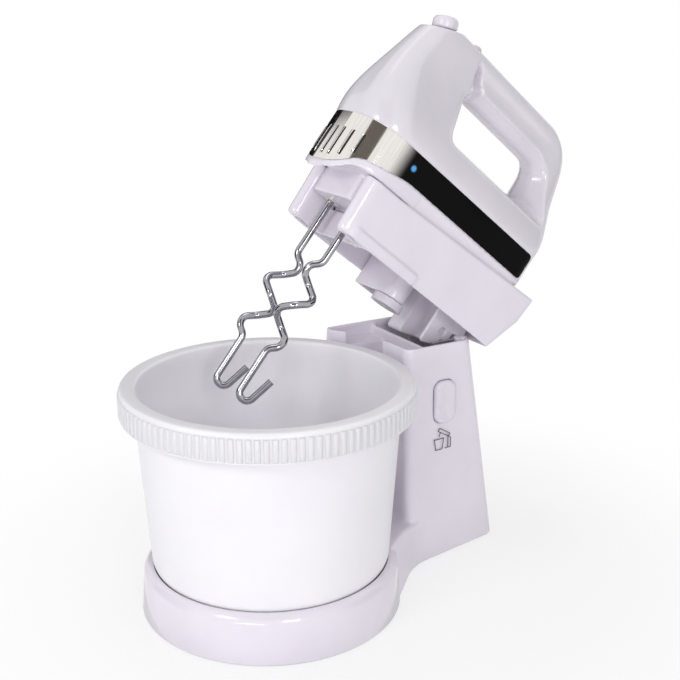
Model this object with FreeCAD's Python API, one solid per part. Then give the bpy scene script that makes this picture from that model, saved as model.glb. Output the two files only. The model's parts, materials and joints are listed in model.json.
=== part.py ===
import FreeCAD, Part
import math
import os

os.makedirs("parts", exist_ok=True)

# Hand mixer on a tilting stand with a turning bowl. Millimetres, X across, front towards -Y, Z up.
# X = 0 is the middle plane of head and column, Y = 0 passes through the bowl axis, Z = 0 is the table.
# The head is drawn lowered over the bowl and tipped back to its open stop at the end.

# Clearances
shaft_clearance = 0.05
pressed_clearance = 0.02
seat_gap = 0.2
running_gap = 0.5
slip_gap = 0.6
wheel_gap = 0.9

# Bowl with its ribbed rim
bowl_axis_x = 34.0
bowl_underside_z = 30.0
bowl_wall = 3.0
rim_overhang = 10.4
bowl_draft = 9.8
bowl_corner_r = 18.0
rim_r = 110.0
rim_top_z = 178.0
rim_height = 22.0
rim_skirt = 2.5
rim_edge_r = 3.0
rib_count = 116
rib_depth = 1.1
rib_width = 3.2
rib_margin = 1.0

# Turntable under the bowl
turntable_r = 66.0
turntable_thick = 6.5
key_across_flats = 30.0
key_height = 4.0
key_slip = 0.4
stud_r = 5.0
stud_engage = 8.0
stud_root = 10.0
glide_inner_r = 50.0
glide_width = 10.0
glide_thick = 1.0

# Round base, foot and column of the stand
shell_wall = 3.0
skirt_z = 0.8
base_rim = 9.5
base_taper = 3.0
base_height = 38.0
base_edge_r = 9.0
flank_low_start = (88.0, 84.3)
flank_low_turn = (53.0, 120.0)
flank_low_r = 60.0
flank_high_start = (76.0, 83.0)
flank_high_turn = (57.5, 108.0)
flank_high_r = 25.0
flank_left_turn_y = 78.0
flank_left_r = 60.0
flank_left = (-55.0, 40.0)
column_front_y = 60.0
foot_front_x = 63.0
foot_rear_x = 37.0
foot_rear_y = 216.0
foot_corner_r = 12.0
column_top_z = 184.0
column_top_x = 45.0
column_top_rear_y = 180.5
column_front_gap = 6.0
column_edge_r = 7.0
tall_edge_share = 0.9
front_notch_left = -24.0
front_notch_right = 12.0
front_notch_z = 164.0
deck_z = 172.0
deck_rear_y = 141.5
deck_wall_z = 180.0
rear_notch_half = 30.5
rear_notch_z = 166.0
plate_thick = 2.0
plate_step = 1.0
foot_pad_r = 8.0
foot_pad_sunk = 0.8
pad_reach_share = 0.62
screw_r = 1.6
screw_head_r = 3.2
screw_head_h = 1.2
screw_length = 9.0
screw_slot_half = 0.4
screw_reach_share = 0.75
boss_r = 4.2

# Hinge between column and cradle
hinge_y = 178.0
hinge_z = 178.0
open_tilt = 39.0
pin_r = 3.0
barrel_r = 8.0
ear_thick = 6.0
tongue_half = 20.0
tongue_plate = 3.0
tongue_web_x = -10.0
tongue_pocket_r = 6.0
tongue_front_y = 149.0
tongue_low_z = 159.0
tongue_corner_r = 3.0
lock_hole_r = 3.2
lock_hole_y = 165.0
lock_hole_z = 177.0

# Tilt release button and its latch rocker
button_y = 152.0
button_z = 136.0
button_width = 19.2
button_height = 35.0
button_corner_r = 7.5
button_proud = 2.6
button_travel = 3.5
stem_width = 7.0
stem_height = 4.0
rocker_x = 31.0
rocker_thick = 4.0
rocker_width = 9.0
rocker_pivot_z = 159.0
rocker_pin_r = 2.0
rocker_lug_thick = 3.0
rocker_lug_half = 5.0
rocker_barrel_r = 4.4
bolt_r = 2.8

# Cradle that carries the mixer
cradle_wall = 2.5
cradle_half = 45.5
cradle_taper = 1.0
cradle_low_z = 185.5
cradle_front_y = 8.0
cradle_front_r = 17.0
cradle_rear_y = 210.0
cradle_rear_mid_y = 208.0
cradle_rear_mid_z = 218.0
cradle_rear_low_y = 195.0
cradle_rear_r = 6.0
cradle_low_r = 12.0
cheek_r = 6.5
cradle_top_front_z = 231.0
cradle_top_rear_z = 240.0
tray_z = 204.5
tray_thick = 3.0
cheek_width = 14.5
notch_back_y = 43.0
ledge_z = 194.0
ledge_out = 1.6
ledge_end_y = 95.0
peg_r = 3.5
peg_y = 56.0
peg_x = 8.0
peg_length = 16.0

# Friction drive for the bowl
drive_left = 38.0
drive_right = 7.0
drive_front = 12.6
drive_rear = 13.0
drive_low_z = 175.0
drive_wall = 2.2
drive_boss_r = 12.0
wheel_x = -3.0
wheel_r = 13.4
wheel_hub_r = 10.6
wheel_low_z = 168.0
drive_shaft_r = 3.0

# Hand mixer: outline at the trim band and at heights above it
body_half = 42.0
body_nose_y = -9.0
body_rear_y = 193.0
body_nose_r = 35.0
body_rear_r = 14.0
tub_rear_low_y = 187.0
tub_rear_high_y = 192.0
mixer_low_z = 208.0
nose_low_z = 210.0
nose_front_y = 16.0
nose_slip = 1.2
nose_r = 8.0
lip_z = 232.0
collar_drop = 6.0
seam_z = 244.7
seam_bend_y = 45.0
seam_bend_r = 60.0
seam_dip = (2.0, 237.5)
seam_dip_r = 15.0
seam_dip_deg = 50.0
band_margin = 0.7
band_top_z = 267.6
band_thick = 1.2
band_cut_over = 1.0
band_rear_y = 185.0
band_corner_r = 4.0
shoulder_z = 268.2
mixer_wall = 2.4
# Upper housing stations: height, half width, nose, rear, nose radius, rear radius
station_waist = (303.0, 30.5, -9.0, 194.0, 24.0, 14.0)
station_grip = (335.0, 18.5, -2.0, 191.5, 15.5, 12.0)
station_crown = (356.0, 15.5, 4.0, 183.5, 13.0, 11.0)
station_top = (370.5, 11.5, 10.0, 161.0, 9.5, 9.5)
tower_slope_y = 4.5
tower_slope_z = 358.0
tower_slope_deg = 24.0
hole_front_top = (64.0, 335.4, 6.0)
hole_front_low = (77.0, 303.0, 10.0)
hole_rear_low = (168.0, 303.0, 5.0)
hole_rear_top = (164.0, 335.4, 13.0)
hole_half = 7.0
hole_flare_y = 0.62
hole_flare_z = 0.37

# Controls on the mixer
eject_r = 10.2
eject_height = 10.5
eject_stem_r = 4.0
eject_stem = 26.0
eject_travel = 4.0
eject_along = 22.0
slider_y = 56.5
slider_r = 4.6
slider_height = 5.5
slider_travel = 5.0
slider_shoe_half = 2.07
turbo_y0 = 64.0
turbo_y1 = 88.0
turbo_half = 7.0
turbo_corner_r = 3.0
turbo_proud = 1.8
turbo_travel = 1.5
led_y = 41.0
led_z = 256.0
led_r = 3.0
louvre_count = 7
louvre_pitch = 10.0
louvre_top_z = 254.5
louvre_margin = 5.5
louvre_width = 1.8
inlet_r = 6.0
inlet_bore_r = 3.6
inlet_z = 258.0
inlet_proud = 1.5

# Motor and gears
motor_z = 240.0
stator_y0 = 102.0
stator_y1 = 140.0
stator_half = 29.0
stator_high = 25.0
armature_r = 16.0
armature_gap = 0.8
coil_thick = 7.0
coil_margin = 1.0
shaft_r = 4.0
shaft_front_y = 16.0
shaft_rear_y = 176.0
worm_r = 6.0
worm_y0 = 22.0
worm_y1 = 44.0
commutator_r = 10.5
commutator_y0 = 82.0
commutator_y1 = 94.0
brush_width = 6.0
brush_length = 12.0
fan_y = 158.0
fan_r = 24.0
fan_thick = 9.0
blade_margin = 1.0
fan_blades = 9
front_bracket_y = 66.0
rear_bracket_y = 147.0
bracket_thick = 6.0
bracket_half = 14.0
board_y0 = 100.0
board_y1 = 150.0
board_half = 7.0
board_thick = 1.6
channel_half = 8.0
channel_low_z = 341.0
channel_top_z = 365.0

# Beater sockets and dough hooks
spindle_inset = 9.8
spindle_y = 33.0
socket_r = 6.0
gear_low_z = 235.0
gear_high_z = 245.0
gear_teeth = 26
gear_tooth = 1.4
gear_root_share = 0.3
gear_tip_share = 0.15
wire_r = 2.8
shank_top_z = 230.0
spiral_top_z = 161.0
spiral_r = 12.0
spiral_flat_r = 7.0
spiral_drop = 9.5
spiral_quarters = 7
hook_low_z = 43.5
hook_out = 5.0
hook_tip_out = 16.0
hook_tip_z = 66.0
spiral_bend_r = 7.5
bend_r = 5.5
hook_turn_deg = 55.5

# Worked out once
V = FreeCAD.Vector
rim_core_r = rim_r - rib_depth
bowl_top_r = rim_r - rim_overhang
bowl_foot_r = bowl_top_r - bowl_draft
rim_low_z = rim_top_z - rim_height
turntable_top_z = bowl_underside_z - seat_gap
turntable_low_z = turntable_top_z - turntable_thick
well_z = turntable_low_z - seat_gap - glide_thick
well_r = bowl_foot_r + seat_gap
base_r = well_r + base_rim
base_top_r = base_r - base_taper
column_front_r = rim_r + column_front_gap
wheel_reach = rim_r + wheel_r + wheel_gap
wheel_y = math.sqrt(wheel_reach ** 2 - (bowl_axis_x - wheel_x) ** 2)
wheel_high_z = drive_low_z - running_gap
tongue_left = rear_notch_half - slip_gap
tray_top_z = tray_z + tray_thick
cradle_half_low = cradle_half - cradle_taper
notch_half = cradle_half - cheek_width
nose_half = notch_half - nose_slip
spindle_x = nose_half - spindle_inset
rim_low_face = cradle_top_rear_z + slip_gap
tub_half = cradle_half_low - cradle_wall - slip_gap
bowl_axis = V(bowl_axis_x, 0, 0)
station_band = (shoulder_z, body_half, body_nose_y, body_rear_y, body_nose_r, body_rear_r)


# Small builders
def box(x0, x1, y0, y1, z0, z1):
    return Part.makeBox(x1 - x0, y1 - y0, z1 - z0, V(x0, y0, z0))


def rod(radius, start, end):
    along = end.sub(start)
    return Part.makeCylinder(radius, along.Length, start, along)


def upright(radius, x, y, z0, z1):
    return rod(radius, V(x, y, z0), V(x, y, z1))


def across(radius, y, z, x0, x1):
    return rod(radius, V(x0, y, z), V(x1, y, z))


def lengthwise(radius, x, z, y0, y1):
    return rod(radius, V(x, y0, z), V(x, y1, z))


def rounded_edges(corners, closed):
    # Straight runs joined by tangent arcs; a corner is a point and its radius.
    count = len(corners)
    starts = []
    ends = []
    arcs = []
    for i, (point, radius) in enumerate(corners):
        at_end = not closed and i in (0, count - 1)
        if at_end or radius == 0:
            starts.append(point)
            ends.append(point)
            arcs.append(None)
            continue
        back = corners[i - 1][0].sub(point).normalize()
        ahead = corners[(i + 1) % count][0].sub(point).normalize()
        half = back.getAngle(ahead) / 2
        reach = radius / math.tan(half)
        middle = back.add(ahead).normalize()
        centre = point.add(middle * (radius / math.sin(half)))
        starts.append(point.add(back * reach))
        ends.append(point.add(ahead * reach))
        arcs.append(centre.sub(middle * radius))
    edges = []
    for i in range(count):
        if arcs[i] is not None:
            edges.append(Part.Arc(starts[i], arcs[i], ends[i]).toShape())
        if i < count - 1 or closed:
            far = starts[(i + 1) % count]
            if ends[i].distanceToPoint(far) > 1e-6:
                edges.append(Part.LineSegment(ends[i], far).toShape())
    return edges


def outline(points, z):
    return Part.Wire(rounded_edges([(V(x, y, z), r) for x, y, r in points], True))


def plate(points, z0, z1):
    return Part.Face(outline(points, z0)).extrude(V(0, 0, z1 - z0))


def inset_plate(points, inset, z0, z1):
    wire = outline(points, z0).makeOffset2D(-inset)
    return Part.Face(wire).extrude(V(0, 0, z1 - z0))


def side_plate(points, x0, x1):
    wire = Part.Wire(rounded_edges([(V(x0, y, z), r) for y, z, r in points], True))
    return Part.Face(wire).extrude(V(x1 - x0, 0, 0))


def turned(points, axis_at):
    corners = [(V(r, 0, z), rounding) for r, z, rounding in points]
    wire = Part.Wire(rounded_edges(corners, True))
    solid = Part.Face(wire).revolve(V(0, 0, 0), V(0, 0, 1), 360)
    solid.translate(axis_at)
    return solid


def lofted(sections, ruled):
    return Part.makeLoft(sections, True, ruled)


def rounded_rectangle(half, y0, y1, front_r, rear_r):
    return [(-half, y0, front_r), (half, y0, front_r), (half, y1, rear_r), (-half, y1, rear_r)]


def joined(shapes):
    return shapes[0].multiFuse(shapes[1:]).removeSplitter()


def both_sides(shape):
    return [shape, shape.mirror(V(0, 0, 0), V(1, 0, 0))]


nodes = {}
head_nodes = set()


def stand_node(name, shape):
    nodes[name] = shape


def head_node(name, shape):
    nodes[name] = shape
    head_nodes.add(name)


# Bowl
def make_bowl():
    inner_top_r = bowl_top_r - bowl_wall
    inner_foot_r = bowl_foot_r - bowl_wall
    flange_z = rim_top_z - bowl_wall
    body = turned([
        (0, bowl_underside_z, 0),
        (bowl_foot_r, bowl_underside_z, bowl_corner_r),
        (bowl_top_r, flange_z, 0),
        (rim_core_r - rim_skirt, flange_z, 0),
        (rim_core_r - rim_skirt, rim_low_z, 0),
        (rim_core_r, rim_low_z, 0),
        (rim_core_r, rim_top_z, rim_edge_r),
        (inner_top_r, rim_top_z, bowl_wall),
        (inner_foot_r, bowl_underside_z + bowl_wall, bowl_corner_r - bowl_wall),
        (0, bowl_underside_z + bowl_wall, 0),
    ], bowl_axis)
    recess_height = key_height + key_slip
    recess_flat = key_across_flats / 2 + key_slip
    dome_r = recess_flat / math.cos(math.pi / 6) + bowl_wall
    dome = upright(dome_r, bowl_axis_x, 0, bowl_underside_z, bowl_underside_z + recess_height + bowl_wall)
    recess = hex_prism(recess_flat, bowl_underside_z, bowl_underside_z + recess_height)
    return joined([body, dome, rim_ribs()]).cut(recess)


def hex_prism(flat, z0, z1):
    corner = flat / math.cos(math.pi / 6)
    turn = math.pi / 3
    points = []
    for i in range(6):
        points.append((bowl_axis_x + corner * math.cos(i * turn), corner * math.sin(i * turn), 0))
    return plate(points, z0, z1)


def rim_ribs():
    root_r = rim_core_r - rim_skirt / 2
    low = rim_low_z + rib_margin
    high = rim_top_z - rim_edge_r - rib_margin / 2
    half_tip = rib_width / 2 / rim_r
    half_root = half_tip + rib_depth / 2 / rim_r
    points = []
    for i in range(rib_count):
        at = 2 * math.pi * i / rib_count
        profile = ((rim_core_r, -half_root), (rim_r, -half_tip), (rim_r, half_tip), (rim_core_r, half_root))
        for radius, turn in profile:
            points.append((bowl_axis_x + radius * math.cos(at + turn), radius * math.sin(at + turn), 0))
    return plate(points, low, high).cut(upright(root_r, bowl_axis_x, 0, low, high))


# Turntable, its stud and the glide ring
def make_turntable():
    disc = upright(turntable_r, bowl_axis_x, 0, turntable_low_z, turntable_top_z)
    key = hex_prism(key_across_flats / 2, turntable_top_z, turntable_top_z + key_height)
    bore_top = turntable_low_z + stud_engage + seat_gap
    bore = upright(stud_r + shaft_clearance, bowl_axis_x, 0, turntable_low_z, bore_top)
    return joined([disc, key]).cut(bore)


def make_stud():
    return upright(stud_r, bowl_axis_x, 0, well_z - stud_root, turntable_low_z + stud_engage)


def make_glide_ring():
    outer = upright(glide_inner_r + glide_width, bowl_axis_x, 0, well_z, well_z + glide_thick)
    return outer.cut(upright(glide_inner_r, bowl_axis_x, 0, well_z, well_z + glide_thick))


# Stand shell: round base, foot and column in one moulding
def foot_side_at(y):
    share = (y - column_front_y) / (foot_rear_y - column_front_y)
    return foot_front_x + (foot_rear_x - foot_front_x) * share


def column_side_at(y, z):
    share = (z - skirt_z) / (column_top_z - skirt_z)
    return foot_side_at(y) + (column_top_x - foot_side_at(y)) * share


def foot_points(start, turn, turn_r, z):
    meet_y = (deck_rear_y + flank_low_turn[1]) / 2
    return [
        (start[0], start[1], 0),
        (turn[0], turn[1], turn_r),
        (column_side_at(meet_y, z) - seat_gap, meet_y, 0),
        (seat_gap - column_side_at(meet_y, z), meet_y, 0),
        (seat_gap - foot_side_at(flank_left_turn_y), flank_left_turn_y, flank_left_r),
        (flank_left[0], flank_left[1], 0),
        (bowl_axis_x, bowl_underside_z, 0),
    ]


def foot_low():
    return foot_points(flank_low_start, flank_low_turn, flank_low_r, skirt_z)


def foot_high():
    return foot_points(flank_high_start, flank_high_turn, flank_high_r, base_height)


def column_points(inset, side_x, rear_x, rear_y):
    front_y = column_front_y
    radius = foot_corner_r - inset
    return [
        (side_x - inset, front_y, 0),
        (rear_x - inset, rear_y - inset, radius),
        (-rear_x + inset, rear_y - inset, radius),
        (-side_x + inset, front_y, 0),
    ]


def column_block(inset, bottom_z, top_z):
    low = outline(column_points(inset, foot_front_x, foot_rear_x, foot_rear_y), bottom_z)
    high = outline(column_points(inset, column_top_x, column_top_x, column_top_rear_y), top_z)
    block = lofted([low, high], True)
    return block.cut(upright(column_front_r + inset, bowl_axis_x, 0, bottom_z, top_z))


def front_edges(solid):
    picked = []
    for edge in solid.Edges:
        low = edge.BoundBox
        tall = low.ZMax - low.ZMin > (column_top_z - base_height) * tall_edge_share
        if tall and low.YMax < hinge_y - foot_corner_r * 2:
            picked.append(edge)
    return picked


def base_disc(inset):
    top_z = base_height if inset == 0 else well_z - inset
    edge_r = base_edge_r if inset == 0 else 0
    return turned([
        (0, skirt_z, 0),
        (base_r - inset, skirt_z, 0),
        (base_top_r - inset, top_z, edge_r),
        (0, top_z, 0),
    ], bowl_axis)


def screw_places():
    reach = well_r * screw_reach_share
    return [
        (bowl_axis_x + reach, -reach / 2),
        (bowl_axis_x - reach, -reach / 2),
        (foot_rear_x - foot_corner_r, foot_rear_y - foot_corner_r - boss_r),
        (foot_corner_r - foot_rear_x, foot_rear_y - foot_corner_r - boss_r),
    ]


def make_stand_shell():
    outer_column = column_block(0, skirt_z, column_top_z)
    outer_column = outer_column.makeFillet(column_edge_r, front_edges(outer_column))
    foot = lofted([outline(foot_low(), skirt_z), outline(foot_high(), base_height)], True)
    outer = joined([base_disc(0), foot, outer_column])
    hollow_foot = inset_plate(foot_high(), shell_wall, skirt_z, base_height - shell_wall)
    well_wall = upright(well_r + shell_wall, bowl_axis_x, 0, well_z - shell_wall, base_height)
    hollow_foot = hollow_foot.cut(well_wall)
    hollow_column = column_block(shell_wall, skirt_z, column_top_z)
    hollow_column = hollow_column.makeFillet(column_edge_r - shell_wall, front_edges(hollow_column))
    hollow = joined([base_disc(shell_wall), hollow_foot, hollow_column])
    shell = joined([outer.cut(hollow)] + column_deck(outer_column))
    well = upright(well_r, bowl_axis_x, 0, well_z, base_height)
    wheel_way = box(front_notch_left, front_notch_right, 0, deck_rear_y - shell_wall,
                    front_notch_z, column_top_z)
    ear_x = rear_notch_half
    hinge_way = box(-ear_x, ear_x, hinge_y - barrel_r * 2, foot_rear_y, rear_notch_z, column_top_z)
    shell = shell.cut(well).cut(wheel_way).cut(hinge_way)
    ear_low = hinge_z - barrel_r * 3
    ear = box(ear_x, ear_x + ear_thick, hinge_y - barrel_r, foot_rear_y, ear_low, column_top_z)
    ears = [piece.common(outer) for piece in both_sides(ear)]
    bosses = []
    for x, y in screw_places():
        bosses.append(upright(boss_r, x, y, skirt_z + plate_thick, well_z))
    bosses[2] = joined([bosses[2], corner_rib(1)])
    bosses[3] = joined([bosses[3], corner_rib(-1)])
    stud_boss = upright(stud_r + shell_wall, bowl_axis_x, 0, well_z - stud_root, well_z)
    lugs = rocker_lugs()
    shell = joined([shell, stud_boss] + ears + bosses + lugs)
    shell = shell.cut(upright(stud_r + pressed_clearance, bowl_axis_x, 0, well_z - stud_root, well_z))
    pin_end = ear_x + ear_thick - pin_r / 2
    shell = shell.cut(across(pin_r + pressed_clearance, hinge_y, hinge_z, -pin_end, pin_end))
    for x, y in screw_places():
        hole_top = skirt_z + plate_thick + screw_length
        shell = shell.cut(upright(screw_r + pressed_clearance, x, y, skirt_z, hole_top))
    return shell.cut(button_opening()).cut(rocker_pin_hole())


def column_deck(outer_column):
    low_z = front_notch_z - shell_wall
    deck = box(-foot_front_x, foot_front_x, 0, deck_rear_y, deck_z - shell_wall, deck_z)
    wall = box(-foot_front_x, foot_front_x, deck_rear_y - shell_wall, deck_rear_y, low_z, deck_wall_z)
    pocket = box(front_notch_left - shell_wall, front_notch_right + shell_wall, 0, deck_rear_y, low_z, deck_z)
    return [piece.common(outer_column) for piece in (deck, wall, pocket)]


def corner_rib(side):
    x, y = screw_places()[2]
    x0, x1 = sorted((side * x, side * foot_rear_x))
    rib = box(x0, x1, y - boss_r / 2, y + boss_r / 2, skirt_z + plate_thick, well_z)
    return rib.common(column_block(shell_wall / 2, skirt_z, column_top_z))


def make_base_plate():
    gap = shell_wall + slip_gap * 2
    disc = upright(base_r - gap - plate_step, bowl_axis_x, 0, skirt_z, skirt_z + plate_thick)
    foot = inset_plate(foot_high(), gap, skirt_z, skirt_z + plate_thick)
    rear_points = column_points(gap, foot_front_x, foot_rear_x, foot_rear_y)
    rear_points[0] = (foot_side_at(flank_low_turn[1]) - gap, flank_low_turn[1], 0)
    rear_points[3] = (-rear_points[0][0], rear_points[0][1], 0)
    flat = joined([disc, foot, plate(rear_points, skirt_z, skirt_z + plate_thick)])
    for x, y in screw_places():
        flat = flat.cut(upright(screw_r + slip_gap / 2, x, y, skirt_z, skirt_z + plate_thick))
        flat = flat.cut(upright(screw_head_r + slip_gap / 2, x, y, skirt_z, skirt_z + screw_head_h))
    for x, y in pad_places():
        flat = flat.cut(upright(foot_pad_r + pressed_clearance, x, y, skirt_z, skirt_z + foot_pad_sunk))
    return flat


def make_base_screws():
    screws = []
    for x, y in screw_places():
        head = upright(screw_head_r, x, y, skirt_z, skirt_z + screw_head_h)
        thread = upright(screw_r, x, y, skirt_z + screw_head_h, skirt_z + screw_head_h + screw_length)
        slot = box(x - screw_head_r, x + screw_head_r, y - screw_slot_half, y + screw_slot_half,
                   skirt_z, skirt_z + screw_head_h / 2)
        screws.append(joined([head, thread]).cut(slot))
    return Part.Compound(screws)


def pad_places():
    reach = well_r * pad_reach_share
    rear_y = foot_rear_y - foot_corner_r * 2 - boss_r * 3
    return [
        (bowl_axis_x + reach, -reach),
        (bowl_axis_x - reach, -reach),
        (foot_rear_x - foot_corner_r, rear_y),
        (foot_corner_r - foot_rear_x, rear_y),
    ]


def make_foot_pads():
    top = skirt_z + foot_pad_sunk
    return Part.Compound([upright(foot_pad_r, x, y, 0, top) for x, y in pad_places()])


# Tilt release
def wall_x_at(z):
    return column_side_at(button_y, z)


def oblong(gap, x0, x1):
    width = button_width + gap * 2
    height = button_height + gap * 2
    y0 = button_y - width / 2
    z0 = button_z - height / 2
    radius = button_corner_r + gap
    points = [
        (y0, z0, radius),
        (y0 + width, z0, radius),
        (y0 + width, z0 + height, radius),
        (y0, z0 + height, radius),
    ]
    return side_plate(points, x0, x1)


def button_opening():
    return oblong(running_gap, wall_x_at(button_z) - shell_wall * 2, base_r)


def make_release_button():
    face_x = wall_x_at(button_z) + button_proud
    back_x = face_x - button_proud - button_travel - running_gap
    cap = oblong(0, back_x, face_x)
    stem = box(rocker_x + rocker_thick + seat_gap, back_x, button_y - stem_width / 2,
               button_y + stem_width / 2, button_z - stem_height / 2, button_z + stem_height / 2)
    return joined([cap, stem])


def rocker_y_span():
    return button_y - rocker_width / 2, button_y + rocker_width / 2


def rocker_lugs():
    y0, y1 = rocker_y_span()
    outer_x = wall_x_at(rocker_pivot_z) - shell_wall / 2
    lugs = []
    for start in (y0 - seat_gap - rocker_lug_thick, y1 + seat_gap):
        lugs.append(box(rocker_x - rocker_pin_r, outer_x, start, start + rocker_lug_thick,
                        rocker_pivot_z - rocker_lug_half, rocker_pivot_z + rocker_lug_half))
    return lugs


def rocker_pin_span():
    y0, y1 = rocker_y_span()
    return y0 - seat_gap - rocker_lug_thick, y1 + seat_gap + rocker_lug_thick


def rocker_pin_hole():
    y0, y1 = rocker_pin_span()
    return lengthwise(rocker_pin_r + pressed_clearance, rocker_x + rocker_thick / 2, rocker_pivot_z, y0, y1)


def make_rocker_pin():
    y0, y1 = rocker_pin_span()
    return lengthwise(rocker_pin_r, rocker_x + rocker_thick / 2, rocker_pivot_z, y0, y1)


def make_latch_rocker():
    y0, y1 = rocker_y_span()
    high = lock_hole_z + bolt_r * 2
    bar = box(rocker_x, rocker_x + rocker_thick, y0, y1, button_z - stem_width, high)
    arm = box(rocker_x, rocker_x + rocker_thick, y0, lock_hole_y + bolt_r, lock_hole_z - bolt_r, high)
    bolt = across(bolt_r, lock_hole_y, lock_hole_z, tongue_half + running_gap, rocker_x)
    hole = lengthwise(rocker_pin_r + shaft_clearance, rocker_x + rocker_thick / 2, rocker_pivot_z, y0, y1)
    barrel = lengthwise(rocker_barrel_r, rocker_x + rocker_thick / 2, rocker_pivot_z, y0, y1)
    return joined([bar, arm, bolt, barrel]).cut(hole)


# Hinge pin
def make_hinge_pin():
    end = rear_notch_half + ear_thick - pin_r / 2
    return across(pin_r, hinge_y, hinge_z, -end, end)


# Cradle
def cradle_outline(inset, z, rear_y):
    share = (z - cradle_low_z) / (cradle_top_rear_z - cradle_low_z)
    half = cradle_half_low + (cradle_half - cradle_half_low) * share - inset
    points = rounded_rectangle(half, cradle_front_y + inset, rear_y - inset,
                               cradle_front_r - inset, cradle_rear_r - inset)
    return outline(points, z)


def cradle_block(inset):
    low = cradle_outline(inset, cradle_low_z, cradle_rear_low_y)
    middle = cradle_outline(inset, cradle_rear_mid_z, cradle_rear_mid_y)
    high = cradle_outline(inset, cradle_top_rear_z, cradle_rear_y)
    return lofted([low, middle, high], True)


def above_parting():
    slope = (cradle_top_rear_z - cradle_top_front_z) / (cradle_rear_y - notch_back_y)
    front_y = body_nose_y * 2
    far_y = cradle_rear_y + body_half
    over = cradle_top_rear_z + body_half
    points = [
        (front_y, cradle_top_front_z, 0),
        (notch_back_y, cradle_top_front_z, 0),
        (far_y, cradle_top_front_z + slope * (far_y - notch_back_y), 0),
        (far_y, over, 0),
        (front_y, over, 0),
    ]
    return side_plate(points, -cradle_half * 2, cradle_half * 2)


def make_cradle_tray():
    notch = box(-notch_half, notch_half, 0, notch_back_y, cradle_low_z, cradle_top_rear_z)
    outer = cradle_block(0).cut(notch)
    outer = outer.makeFillet(cheek_r, notch_mouth_edges(outer))
    outer = outer.cut(cheek_toe())
    inner = cradle_block(cradle_wall).cut(cheek_blocks())
    walls = outer.cut(inner)
    floor = inner.common(box(-cradle_half, cradle_half, 0, body_rear_y, tray_z, tray_top_z))
    sill = box(-notch_half, notch_half, notch_back_y, notch_back_y + cradle_wall, cradle_low_z, tray_top_z)
    ledge = inner.common(box(-cradle_half, cradle_half, body_rear_y + slip_gap, cradle_rear_y,
                             cradle_rear_mid_z, cradle_top_rear_z - cradle_wall))
    tray = joined([walls, floor, sill, ledge, hinge_tongue(), locating_peg()] + side_ledges(outer))
    tray = tray.cut(notch).cut(cheek_hollows()).cut(above_parting())
    tray = tray.cut(across(pin_r + shaft_clearance, hinge_y, hinge_z, -tongue_left, tongue_half))
    lock_hole = across(lock_hole_r, lock_hole_y, lock_hole_z, tongue_half - lock_hole_r * 2, tongue_half)
    return tray.cut(lock_hole)


def cheek_blocks():
    block = box(notch_half, cradle_half, 0, notch_back_y + cradle_wall, cradle_low_z, cradle_top_rear_z)
    return Part.Compound(both_sides(block))


def cheek_hollows():
    hollow = box(notch_half + cradle_wall, cradle_half_low - cradle_wall, cradle_front_y + cradle_front_r,
                 notch_back_y, cradle_low_z, cradle_top_front_z - cradle_wall)
    return Part.Compound(both_sides(hollow))


def notch_mouth_edges(solid):
    picked = []
    for edge in solid.Edges:
        span = edge.BoundBox
        upright_edge = span.ZMax - span.ZMin > cradle_front_r
        at_mouth = abs(abs(span.XMax) - notch_half) < seat_gap
        if upright_edge and at_mouth and span.YMax < cradle_front_y + cradle_front_r:
            picked.append(edge)
    return picked


def cheek_toe():
    y = cradle_front_y + cradle_low_r
    z = cradle_low_z + cradle_low_r
    corner = box(-cradle_half, cradle_half, 0, y, cradle_low_z, z)
    return corner.cut(across(cradle_low_r, y, z, -cradle_half, cradle_half))


def side_ledges(outer):
    ledge = box(cradle_half_low, cradle_half_low + ledge_out, cradle_front_y + cradle_front_r, ledge_end_y,
                cradle_low_z, ledge_z)
    return [piece.cut(outer) for piece in both_sides(ledge)]


def hinge_tongue():
    block = side_plate([
        (tongue_front_y, tongue_low_z, tongue_corner_r),
        (hinge_y, tongue_low_z + barrel_r, 0),
        (hinge_y + barrel_r, hinge_z, 0),
        (hinge_y + barrel_r, tray_z, 0),
        (tongue_front_y, tray_z, 0),
    ], -tongue_left, tongue_half)
    pocket_rear = hinge_y - barrel_r - tongue_plate
    pocket = plate([
        (tongue_web_x, tongue_front_y - tongue_plate, 0),
        (tongue_half - tongue_plate, tongue_front_y - tongue_plate, 0),
        (tongue_half - tongue_plate, pocket_rear, 0),
        (tongue_web_x, pocket_rear, tongue_pocket_r),
    ], tongue_low_z - tongue_plate, tray_z)
    barrel = across(barrel_r, hinge_y, hinge_z, -tongue_left, tongue_half)
    return joined([block.cut(pocket), barrel])


def locating_peg():
    return upright(peg_r, peg_x, peg_y, tray_z - peg_length, tray_z)


# Bowl drive under the cradle
def make_drive_housing():
    x0 = wheel_x - drive_left
    x1 = wheel_x + drive_right
    y0 = wheel_y - drive_front
    y1 = wheel_y + drive_rear
    shield = box(x0, x1, y0, y0 + drive_wall, drive_low_z, tray_z)
    end_wall = box(x0, x0 + drive_wall, y0, y1, drive_low_z, tray_z)
    flange = box(x0, x1, y0, y1, tray_z - drive_wall, tray_z)
    boss = upright(drive_boss_r, wheel_x, wheel_y, drive_low_z, tray_z)
    bore = upright(drive_shaft_r + shaft_clearance, wheel_x, wheel_y, drive_low_z, tray_z)
    return joined([shield, end_wall, flange, boss]).cut(bore)


def make_drive_shaft():
    return upright(drive_shaft_r, wheel_x, wheel_y, wheel_low_z, tray_z - running_gap)


def make_drive_wheel():
    hub = upright(wheel_hub_r, wheel_x, wheel_y, wheel_low_z, wheel_high_z)
    return hub.cut(upright(drive_shaft_r + pressed_clearance, wheel_x, wheel_y, wheel_low_z, wheel_high_z))


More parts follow.
